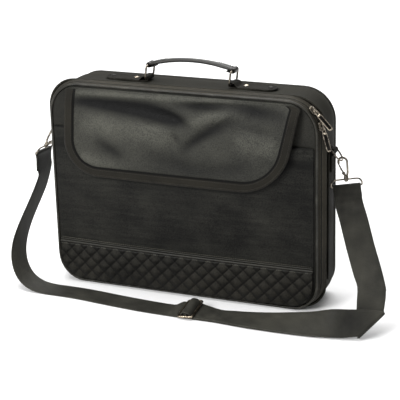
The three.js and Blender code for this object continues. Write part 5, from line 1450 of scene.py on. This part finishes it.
def make_hook(f):
    """Snap hook: a bow and a spine of wire that is thickest at the bow's tip, a turned boss with a
    groove, a pin with its head, and the gate's axle with two arms."""
    angle = np.radians(np.linspace(195, 0, 16))
    bow = BOW + np.stack([BOW_RADIUS * np.cos(angle), -BOW_RADIUS * np.sin(angle)], -1)
    spine = np.array([(7.4, 10.8), (7.1, 18.0), (SWIVEL_P + 0.6, HOOK_LENGTH)])
    flat = smooth(np.concatenate([bow, spine]), 4)
    path = even(f.at(flat[:, 0], flat[:, 1]), 0.8)
    share = np.linspace(0, 1, len(path))
    wire = tube(path, 1.5 + 0.25 * np.exp(-(share / 0.06) ** 2), Y, False, 14)
    centre = f.at(SWIVEL_P, 0)
    boss = turned(centre, f.down, [(2.4, BOSS_TOP), (3.0, BOSS_TOP + 0.2), (3.2, BOSS_TOP + 0.6),
                                   (3.2, BOSS_TOP + 1.1), (2.95, BOSS_TOP + 1.3),
                                   (2.95, BOSS_TOP + 1.6), (3.2, BOSS_TOP + 1.8),
                                   (3.2, BOSS_END - 0.25), (2.9, BOSS_END)])
    pin = turned(centre, f.down, [(1.1, BOSS_TOP), (1.1, COLLAR_END + 0.4)], 14)
    head = turned(centre, f.down, [(1.6, COLLAR_END + 0.3), (2.3, COLLAR_END + 0.45),
                                   (2.3, COLLAR_END + 1.0), (1.7, COLLAR_END + 1.5),
                                   (0.6, COLLAR_END + 1.75)])
    pivot = f.at(*GATE_PIVOT)
    axle = turned(pivot, Y, [(0.9, -2.75), (1.35, -2.6), (1.35, -2.2), (1.1, -2.1), (1.1, 2.1),
                             (1.35, 2.2), (1.35, 2.6), (0.9, 2.75)], 14)
    arms = [tube(f.at([GATE_PIVOT[0], 3.0, SWIVEL_P], [GATE_PIVOT[1], 21.2, BOSS_TOP + 1.0])
                 + Y * s * 2.1, 0.9, Y, False, 10) for s in (-1, 1)]
    return [wire, boss, pin, head, axle, *arms]


def make_gate(f):
    """Sprung gate: a round bar, thickest in its middle, from the barrel to the bow's tip, and a thumb
    nub."""
    tip = f.at(BOW[0] + BOW_RADIUS * np.cos(np.radians(195)), BOW[1] + 3.6)
    pivot = f.at(*GATE_PIVOT)
    way = unit(tip - pivot)
    reach = np.linalg.norm(tip - pivot)
    t = np.linspace(2.0, reach - 0.4, 20)
    bar = tube(pivot + way * t[:, None], 0.95 + 0.15 * np.sin(np.pi * t / reach), Y, False, 12)
    barrel = turned(pivot, Y, [(1.5, -0.85), (2.15, -0.8), (2.3, -0.6), (2.3, 0.6), (2.15, 0.8),
                               (1.5, 0.85)], 20)
    nub_way = np.cross(way, Y) * f.side
    nub_way = nub_way if nub_way @ f.out < 0 else -nub_way
    nub = turned(pivot + way * (reach * 0.45), nub_way, [(0.9, 0.3), (0.95, 1.0), (0.7, 1.5),
                                                         (0.2, 1.65)], 12)
    return [bar, barrel, nub]


def make_strap_loop(f):
    """Wire loop on the swivel: a rounded rectangle with sloped shoulders and a grooved collar."""
    centre = f.at(SWIVEL_P, 0)
    wide = STRAP_HALF + 2 * LINK_GAP + HOOK_WIRE
    low = LOOP_TOP + LOOP_HEIGHT
    half = np.array([(0.1 * wide, LOOP_TOP), (0.72 * wide, LOOP_TOP), (0.86 * wide, LOOP_TOP + 1),
                     (wide, low - 5), (wide, low - 1), (0.96 * wide, low)])
    table = np.concatenate([half, half[::-1] * [-1, 1]])
    path = centre + f.bar * table[:, :1] + f.down * table[:, 1:]
    path = even(softened(path, 8, 7), 1.0, True)
    wire = tube(path, HOOK_WIRE, np.cross(f.bar, f.down), True, 12)
    collar = turned(centre, f.down, [(2.5, COLLAR_TOP), (3.0, COLLAR_TOP + 0.1),
                                     (3.2, COLLAR_TOP + 0.5), (3.2, COLLAR_TOP + 1.2),
                                     (2.9, COLLAR_TOP + 1.5), (2.9, COLLAR_TOP + 1.9),
                                     (3.2, COLLAR_TOP + 2.2), (3.2, COLLAR_END - 0.5),
                                     (3.0, COLLAR_END - 0.1), (2.5, COLLAR_END)])
    return [wire, collar]


for name, f in frames.items():
    strip = merge(f"side_strip_{name}_leather", [make_side_strip(f.side)], crease=50)
    piece(strip, trim_leather, replaces=(f"side_strip_{name}",))
    piece(make_side_tab(f.side), trim_leather, replaces=(f"side_tab_{name}",))
    piece(stitches(f"side_{name}_stitches", side_lines(f.side), pitch=2.9, length=2.1), thread)
    piece(merge(f"side_ring_{name}_wire", [make_side_ring(f)], 80), gunmetal,
          replaces=(f"side_ring_{name}",))
    piece(merge(f"hook_{name}", make_hook(f), 40), gunmetal,
          replaces=(f"hook_body_{name}",))
    piece(merge(f"gate_{name}_lever", make_gate(f), 40), gunmetal, f"gate_{name}",
          (f"hook_gate_{name}",))
    piece(merge(f"loop_{name}", make_strap_loop(f), 40), gunmetal,
          replaces=(f"strap_loop_{name}",))


# Shoulder strap: one ribbon, with the frame's own table of places

BUCKLE_WIRE = 3.0
BUCKLE_LENGTH = 24.0
BUCKLE_X = 35.0
SINGLE_Z = SEAM_GAP + STRAP_WALL / 2
DOUBLE_LIFT = SEAM_GAP + STRAP_WALL + 0.15
BUCKLE_LOW_BAR = SINGLE_Z + (STRAP_WALL + BUCKLE_WIRE) / 2 + LINK_GAP
BUCKLE_HIGH_BAR = BUCKLE_LOW_BAR + STRAP_WALL + 0.3
STRAP_SHARES = np.array([HALF_CASE, CASE_DEPTH, CASE_HEIGHT])
LEFT_DROP = np.array([
    (-1.212, 0.0, .455), (-1.228, -.13, .4), (-1.248, -.28, .343), (-1.266, -.44, .286),
    (-1.276, -.59, .233), (-1.275, -.73, .183), (-1.259, -.85, .136), (-1.23, -.94, .094),
    (-1.185, -1.01, .056), (-1.125, -1.06, .028), (-1.05, -1.09, .0115),
])
# Front run: x, near edge and bank in degrees
FRONT_SINGLE = np.array([
    (-.955, -1.33, 0), (-.84, -1.33, 0), (-.67, -1.345, 0), (-.415, -1.42, 0), (-.175, -1.475, 0),
    (0, -1.49, 0),
])
FRONT_DOUBLE = np.array([
    (.36, -1.49, 0), (.45, -1.5, 2), (.585, -1.53, 7), (.75, -1.54, 14), (.9, -1.535, 23),
    (1.05, -1.515, 34),
])
FOLD_X, FOLD_EDGE = 1.375, -1.4
# Reach of the fold's crease in half widths: the square root of two, less its rounded corners
FOLD_REACH = 1.26
FOLD_HEADING, FOLD_RISE, FOLD_BANK = np.radians([9, 3.5, 56])
BUCKLE_TIP = np.radians(10)
# Over the buckle: run and height from the middle bar in wire radii, and share of the buckle's tip
BUCKLE_HUMP = np.array([
    (-18, -2.53, .3), (-14.5, -2.53, .8), (-10.7, -2.53, 1.15), (-7.3, -2.53, 1), (-5.7, -1.9, 1),
    (-4.9, -.4, 1), (-4.3, 1.2, 1), (-3.2, 2.6, 1), (-1.6, 3.25, 1), (0, 3.4, 1), (1.6, 3.25, 1),
    (3.2, 2.6, 1), (4.3, 1.3, 1), (5, .1, 1), (5.7, -.9, 1), (7.2, -1.27, 1), (10.7, -1.27, .7),
])
RIGHT_CLIMB = np.array([
    (1.375, -.72, .257, 6), (1.3, -.5, .345, 12), (1.225, -.26, .44, 20), (1.165, -.07, .505, 25),
])
BUCKLE_CENTRE = np.array([BUCKLE_X, FRONT_SINGLE[-1, 1] * CASE_DEPTH + STRAP_HALF,
                          (BUCKLE_LOW_BAR + BUCKLE_HIGH_BAR) / 2])


def tip(points, share, line=FRONT_SINGLE[-1, 1] * CASE_DEPTH):
    """Turns rows of points, or ways when line is None, about the strap's near edge at the buckle."""
    c, s = (f(np.asarray(share) * BUCKLE_TIP) for f in (np.cos, np.sin))
    y0 = 0.0 if line is None else line
    x, y, z = np.moveaxis(np.asarray(points, float), -1, 0)
    return np.stack([x + 0 * c, y0 + (y - y0) * c - z * s, (y - y0) * s + z * c], -1)


def sections(middle, along, width, off=0.0, skew=0.0):
    """Cross-sections as rows of middle, half width and face."""
    width = np.broadcast_to(width, along.shape)
    flat = unit(width - along * dot(along, width))
    face = unit(np.cross(along, flat))
    half = flat * STRAP_HALF + along * (np.reshape(skew, (-1, 1)) * STRAP_HALF)
    return np.stack([middle + face * off, half, face], axis=1)


def wrap(centre, bar, up_way, reach):
    """Turn round a bar: up one side, over, and down the other."""
    up = unit(up_way - bar * (up_way @ bar))
    side = unit(np.cross(up, bar))
    radius = HOOK_WIRE + LINK_GAP + STRAP_WALL / 2
    neck = 2.6 * radius
    half = bar * STRAP_HALF
    legs = []
    for sign in (1, -1):
        drops = np.array([reach, (reach + neck) / 2, neck])[::sign]
        middle = centre + side * sign * LAYER_OFFSET - up * drops[:, None]
        legs.append(np.stack([middle, np.broadcast_to(half, middle.shape),
                              np.broadcast_to(side * sign, middle.shape)], axis=1))
    angle = np.radians(np.linspace(-25, 205, 17))[:, None]
    face = side * np.cos(angle) + up * np.sin(angle)
    turn = np.stack([centre + face * radius, np.broadcast_to(half, face.shape), face], axis=1)
    return np.concatenate([legs[0], turn, legs[1]])


def edge_points(rows, lift):
    """Middle of the strap from its near edge and bank: half a width in and up from that edge."""
    bank = np.radians(rows[:, 2])
    return np.stack([rows[:, 0] * HALF_CASE,
                     rows[:, 1] * CASE_DEPTH + STRAP_HALF * np.cos(bank),
                     SEAM_GAP + lift * np.cos(bank) + STRAP_HALF * np.sin(bank)], -1)


def strap_sections():
    """The ribbon's cross-sections from the left loop's tail to the buckle's middle bar."""
    loop_q = LOOP_TOP + LOOP_HEIGHT
    left_bar, right_bar = (frames[name].at(SWIVEL_P, loop_q) for name in ("left", "right"))
    drop = LEFT_DROP * STRAP_SHARES
    left_wrap = wrap(left_bar, frames["left"].bar, unit(left_bar - drop[0]), 0.71 * STRAP_WIDTH)
    floor = edge_points(FRONT_SINGLE, STRAP_WALL / 2)
    run, rise, share = BUCKLE_HUMP.T
    hump = BUCKLE_CENTRE + np.stack([run, 0 * run, rise], -1) * BUCKLE_WIRE / 2
    single = np.concatenate([drop, floor, tip(hump, share)])
    shares = np.concatenate([np.zeros(len(drop) + len(floor)), share])
    single_rows = sections(single, tangents(single), tip(Y, shares, None))
    heading = np.array([np.cos(FOLD_HEADING), np.sin(FOLD_HEADING), 0])
    along = heading * np.cos(FOLD_RISE) + Z * np.sin(FOLD_RISE)
    level = unit(np.cross(Z, along))
    width = level * np.cos(FOLD_BANK) + np.cross(along, level) * np.sin(FOLD_BANK)
    face = np.cross(along, width)
    crease, outward = unit(along + width), unit(along - width)
    radius = LAYER_OFFSET + STRAP_WALL / 2 + SEAM_GAP
    outer = radius + LAYER_OFFSET + STRAP_WALL / 2
    sag = radius * face[2] + outer * np.hypot(face[2], outward[2])
    low = np.array([FOLD_X * HALF_CASE, FOLD_EDGE * CASE_DEPTH, SEAM_GAP + sag])
    middle = low + (along + width) * STRAP_HALF
    runs = np.array([(-1.368, 0), (-0.947, 0.4), (-0.526, 0.8)]) * [STRAP_WIDTH, 1]
    fold_in = sections(middle + along * runs[:, :1], np.repeat(along[None], 3, 0), width,
                       LAYER_OFFSET, runs[:, 1])
    front = edge_points(FRONT_DOUBLE, DOUBLE_LIFT)
    guide = np.concatenate([front, (middle + along * runs[0, 0])[None]])
    bank = np.radians(FRONT_DOUBLE[:, 2])
    front_rows = sections(front, tangents(guide)[:len(front)],
                          np.stack([0 * bank, np.cos(bank), np.sin(bank)], -1), LAYER_OFFSET)
    hub = middle - face * radius
    angle = (np.pi * np.arange(7) / 6)[:, None]
    way = face * np.cos(angle) + outward * np.sin(angle)
    turn = np.stack([hub + way * (radius + LAYER_OFFSET),
                     np.broadcast_to(crease * STRAP_HALF * FOLD_REACH, way.shape), way], axis=1)
    back = middle - face * 2 * radius
    runs = np.array([(0.526, 0.8), (0.947, 0.4), (1.316, 0)]) * [STRAP_WIDTH, 1]
    fold_out = sections(back + width * runs[:, :1], np.repeat(width[None], 3, 0), along,
                        LAYER_OFFSET, runs[:, 1])
    climb = RIGHT_CLIMB[:, :3] * STRAP_SHARES
    guide = np.concatenate([(back + width * runs[-1, 0])[None], climb, right_bar[None]])
    turned_by = np.radians(RIGHT_CLIMB[:, 3])
    climb_rows = sections(climb, tangents(guide)[1:-1],
                          np.stack([np.cos(turned_by), np.sin(turned_by), 0 * turned_by], -1),
                          LAYER_OFFSET)
    right_wrap = wrap(right_bar, frames["right"].bar, unit(right_bar - climb[-1]),
                      0.395 * STRAP_WIDTH)
    doubled = np.concatenate([front_rows, fold_in, turn, fold_out, climb_rows])
    returned = doubled[::-1].copy()
    returned[:, 0] -= returned[:, 2] * 2 * LAYER_OFFSET
    returned[:, 2] *= -1
    run, _, share = BUCKLE_HUMP[:-3:-1].T
    level = np.stack([BUCKLE_X + run * BUCKLE_WIRE / 2, np.full(2, BUCKLE_CENTRE[1]),
                      np.full(2, SINGLE_Z)], -1)
    end_run = np.stack([tip(level, share), tip(Y * STRAP_HALF, share, None), tip(-Z, share, None)],
                       axis=1)
    angle = np.radians(np.linspace(280, 40, 7))[:, None]
    way = X * np.cos(angle) + Z * np.sin(angle)
    ones = np.ones(len(way))
    reach = (BUCKLE_WIRE + STRAP_WALL) / 2 + LINK_GAP
    end_turn = np.stack([tip(BUCKLE_CENTRE + way * reach, ones),
                         tip(Y * STRAP_HALF, ones, None), tip(way, ones, None)], axis=1)
    return np.concatenate([left_wrap, single_rows, doubled, right_wrap, returned, end_run,
                           end_turn])


def make_strap():
    """The cross-sections, smoothed between their rows, with a soft-edged flat profile."""
    rows = smooth(strap_sections(), 3)
    middle, half, face = rows[:, 0], rows[:, 1], unit(rows[:, 2])
    rings = ribbon(middle, half, face, STRAP_WALL, columns=13, crown=0.0, edge=0.45)
    rings[..., 2] = np.maximum(rings[..., 2], FLOOR_GAP)
    s, _ = arc_length(middle)
    across = np.linspace(0, STRAP_WIDTH, 13)
    uv = cloth_map(s[:, None], np.concatenate([across, across[::-1]]), rings)
    wear_and_highlight = np.zeros(rings.shape[:2])
    wear_and_highlight[:, [0, 12, 13, 25]] = 0.5
    return skin("strap_ribbon", rings, "strip", uv, wear_and_highlight, crease=60), (middle, half, face)


def strap_shade_and_creases(x, y, z):
    """Painted shade in the fold and where the strap climbs, with soft painted shading of creases."""
    fold = np.exp(-((x - 270) / 26) ** 2 - ((z - 26) / 26) ** 2)
    climb = np.clip((z - 60) / 80, 0, 1)
    crease_shading = 0.12 * ripple(x + 1.4 * y - z, 51, 33.0) + 0.14 * ripple(x - 2.2 * y, 52, 16.0)
    return 0.56 - 0.40 * fold - 0.28 * climb + crease_shading


strap, (strap_middle, strap_half, strap_face) = make_strap()
mark_tone_and_shade(strap, strap_shade_and_creases)
piece(strap, strap_webbing, replaces=("shoulder_strap",))
strap_rows = []
for sign in (-1, 1):
    line = strap_middle + strap_half * sign * 0.88
    line[:, 2] = np.maximum(line[:, 2], FLOOR_GAP + 1.1)
    strap_rows += [(line + strap_face * 0.72, strap_face), (line - strap_face * 0.72, -strap_face)]
piece(stitches("strap_stitches", strap_rows, pitch=3.6, length=2.5, width=0.28, lift=0.0), thread)


def make_buckle():
    """Three-bar buckle: a rounded frame tipped over the second layer, and a middle bar."""
    reach = (BUCKLE_LENGTH - BUCKLE_WIRE) / 2
    run = unit(np.array([2 * reach, 0, BUCKLE_HIGH_BAR - BUCKLE_LOW_BAR]))
    width = 2 * STRAP_HALF + 3 * LINK_GAP + BUCKLE_WIRE
    loop = round_loop(BUCKLE_CENTRE, 2 * reach, width, BUCKLE_WIRE, run, Y)
    rim, kind = tube(even(loop, 1.2, True), BUCKLE_WIRE / 2, np.cross(run, Y), True, 14)
    ends = BUCKLE_CENTRE + Y * np.linspace(-width / 2, width / 2, 8)[:, None]
    bar, bar_kind = tube(ends, BUCKLE_WIRE / 2, Z, False, 14)
    return [(tip(rim, 1.0), kind), (tip(bar, 1.0), bar_kind)]


piece(merge("buckle_frame", make_buckle(), 60), bronze,
      replaces=("strap_buckle",))


# Zip sliders and pulls

SLIDER_ANGLES = {"upper": 43, "lower": 16}
PULL_ALONG, PULL_FACE = 1.2, 4.9


class BandFrame:
    """Place and directions on the band's outer face at an angle round the upper right corner."""

    def __init__(self, degrees):
        def middle(angle):
            low, high = self.edges(angle)
            return (low + high) / 2
        angle = np.radians(degrees)
        self.origin = middle(angle)
        self.along = unit(middle(angle - 0.01) - middle(angle + 0.01))
        low, high = self.edges(angle)
        face = unit(np.cross(high - low, self.along))
        self.face = face if face[0] > 0 else -face
        self.across = unit(np.cross(self.face, self.along))

    @staticmethod
    def edges(angle):
        """Points of the band's front edge and back edge at an angle round the corner."""
        points = []
        for y, half, top in ((BAND_FRONT, PIPING_HALF, PIPING_TOP),
                             (BAND_BACK, RIM_HALF - SEAM_GAP, RIM_TOP - SEAM_GAP)):
            radius = TOP_RADIUS + half - PIPING_HALF
            points.append(np.array([half - radius + radius * np.cos(angle), y,
                                    top - radius + radius * np.sin(angle)]))
        return points

    def at(self, a, c, f):
        """Points along the band, across it and off its face."""
        a, c, f = np.broadcast_arrays(*(np.asarray(v, float) for v in (a, c, f)))
        return (self.origin + self.along * a[..., None] + self.across * c[..., None]
                + self.face * f[..., None])


def make_slider(b):
    """Zip slider: a waisted plate, and a bridge bent over the pull's eye."""
    plan = np.array([(-6, -2.8), (-1.8, -4), (3.6, -4), (6, -2), (6, 2), (3.6, 4), (-1.8, 4),
                     (-6, 2.8)])
    plan = even(smooth(plan, 3, True), 1.0, True)
    body = rounded_plate(plan, 0.3, 3.3, b.along, b.across, b.face, b.origin, 0.7)
    bridge = smooth(np.array([(-3.9, 2.9), (-3.9, 5.2), (-2.8, 6.8), (0, 7.1), (2.8, 6.8), (3.9, 5.2),
                              (3.9, 2.9)]), 4)
    path = b.at(bridge[:, 0], 0, bridge[:, 1])
    return [body, tube(path, 1.05, b.across, False, 10)]


PULL_LENGTH = 35.0
PULL_HALF = 3.0


def make_pull(b):
    """Pull: a narrow neck with an eye, a long frame of bars, a bead with an end cap, and the dark
    insert that the bars go round."""
    start = PULL_ALONG - 0.9
    end = start + PULL_LENGTH
    level, half = PULL_FACE, PULL_HALF
    eye = smooth(np.array([(start + 1, 0), (start + 1.6, 1.9), (start + 5, 2.3), (start + 8.6, 1.9),
                           (start + 9.2, 0), (start + 8.6, -1.9), (start + 5, -2.3),
                           (start + 1.6, -1.9)]), 4, True)
    ring = tube(b.at(eye[:, 0], eye[:, 1], level), 0.8, b.face, True, 10)
    loop = np.array([(start + 9, 0.75 - half), (start + 11, -half), (end - 2.5, -half),
                     (end - 0.9, 1.2 - half), (end - 0.9, half - 1.2), (end - 2.5, half),
                     (start + 11, half), (start + 9, half - 0.75)])
    dense = softened(loop, 6, 1)
    rim = tube(even(b.at(dense[:, 0], dense[:, 1], level), 0.8, True), 0.75, b.face, True, 10)
    bead = turned(b.at(start + 9.6, 0, level), b.along,
                  [(0.6, -1.5), (1.5, -1.2), (1.9, -0.4), (1.9, 0.5), (1.4, 1.3), (0.6, 1.6)], 14)
    cap = turned(b.at(end - 1.0, 0, level), b.across,
                 [(0.5, 0.4 - half), (0.95, 0.8 - half), (0.95, half - 0.8), (0.5, half - 0.4)], 12)
    plate = even(np.array([(start + 10.5, 0.5 - half), (end - 1.8, 0.5 - half),
                           (end - 1.8, half - 0.5), (start + 10.5, half - 0.5)]), 1.5, True)
    insert = rounded_plate(plate, -0.45, 0.45, b.along, b.across, b.face, b.at(0, 0, level), 0.35)
    return [ring, rim], [bead, cap], [insert]


for name, degrees in SLIDER_ANGLES.items():
    band = BandFrame(degrees)
    piece(merge(f"slider_{name}", make_slider(band), 50), gunmetal,
          replaces=(f"zip_slider_{name}",))
    bars, bright, insert = make_pull(band)
    # The upper pull's rim in bright metal is a painted highlight on a gunmetal frame like the lower
    # one's; the bright beads and end caps are painted highlights
    piece(merge(f"pull_{name}_rim", bars, 60), painted_glint_metal if name == "upper" else gunmetal,
          f"pull_{name}", (f"zip_pull_{name}",))
    piece(merge(f"pull_{name}_bead", bright, 60), painted_glint_metal, f"pull_{name}")
    piece(merge(f"pull_{name}_insert", insert, 50), enamel_and_shade, f"pull_{name}")
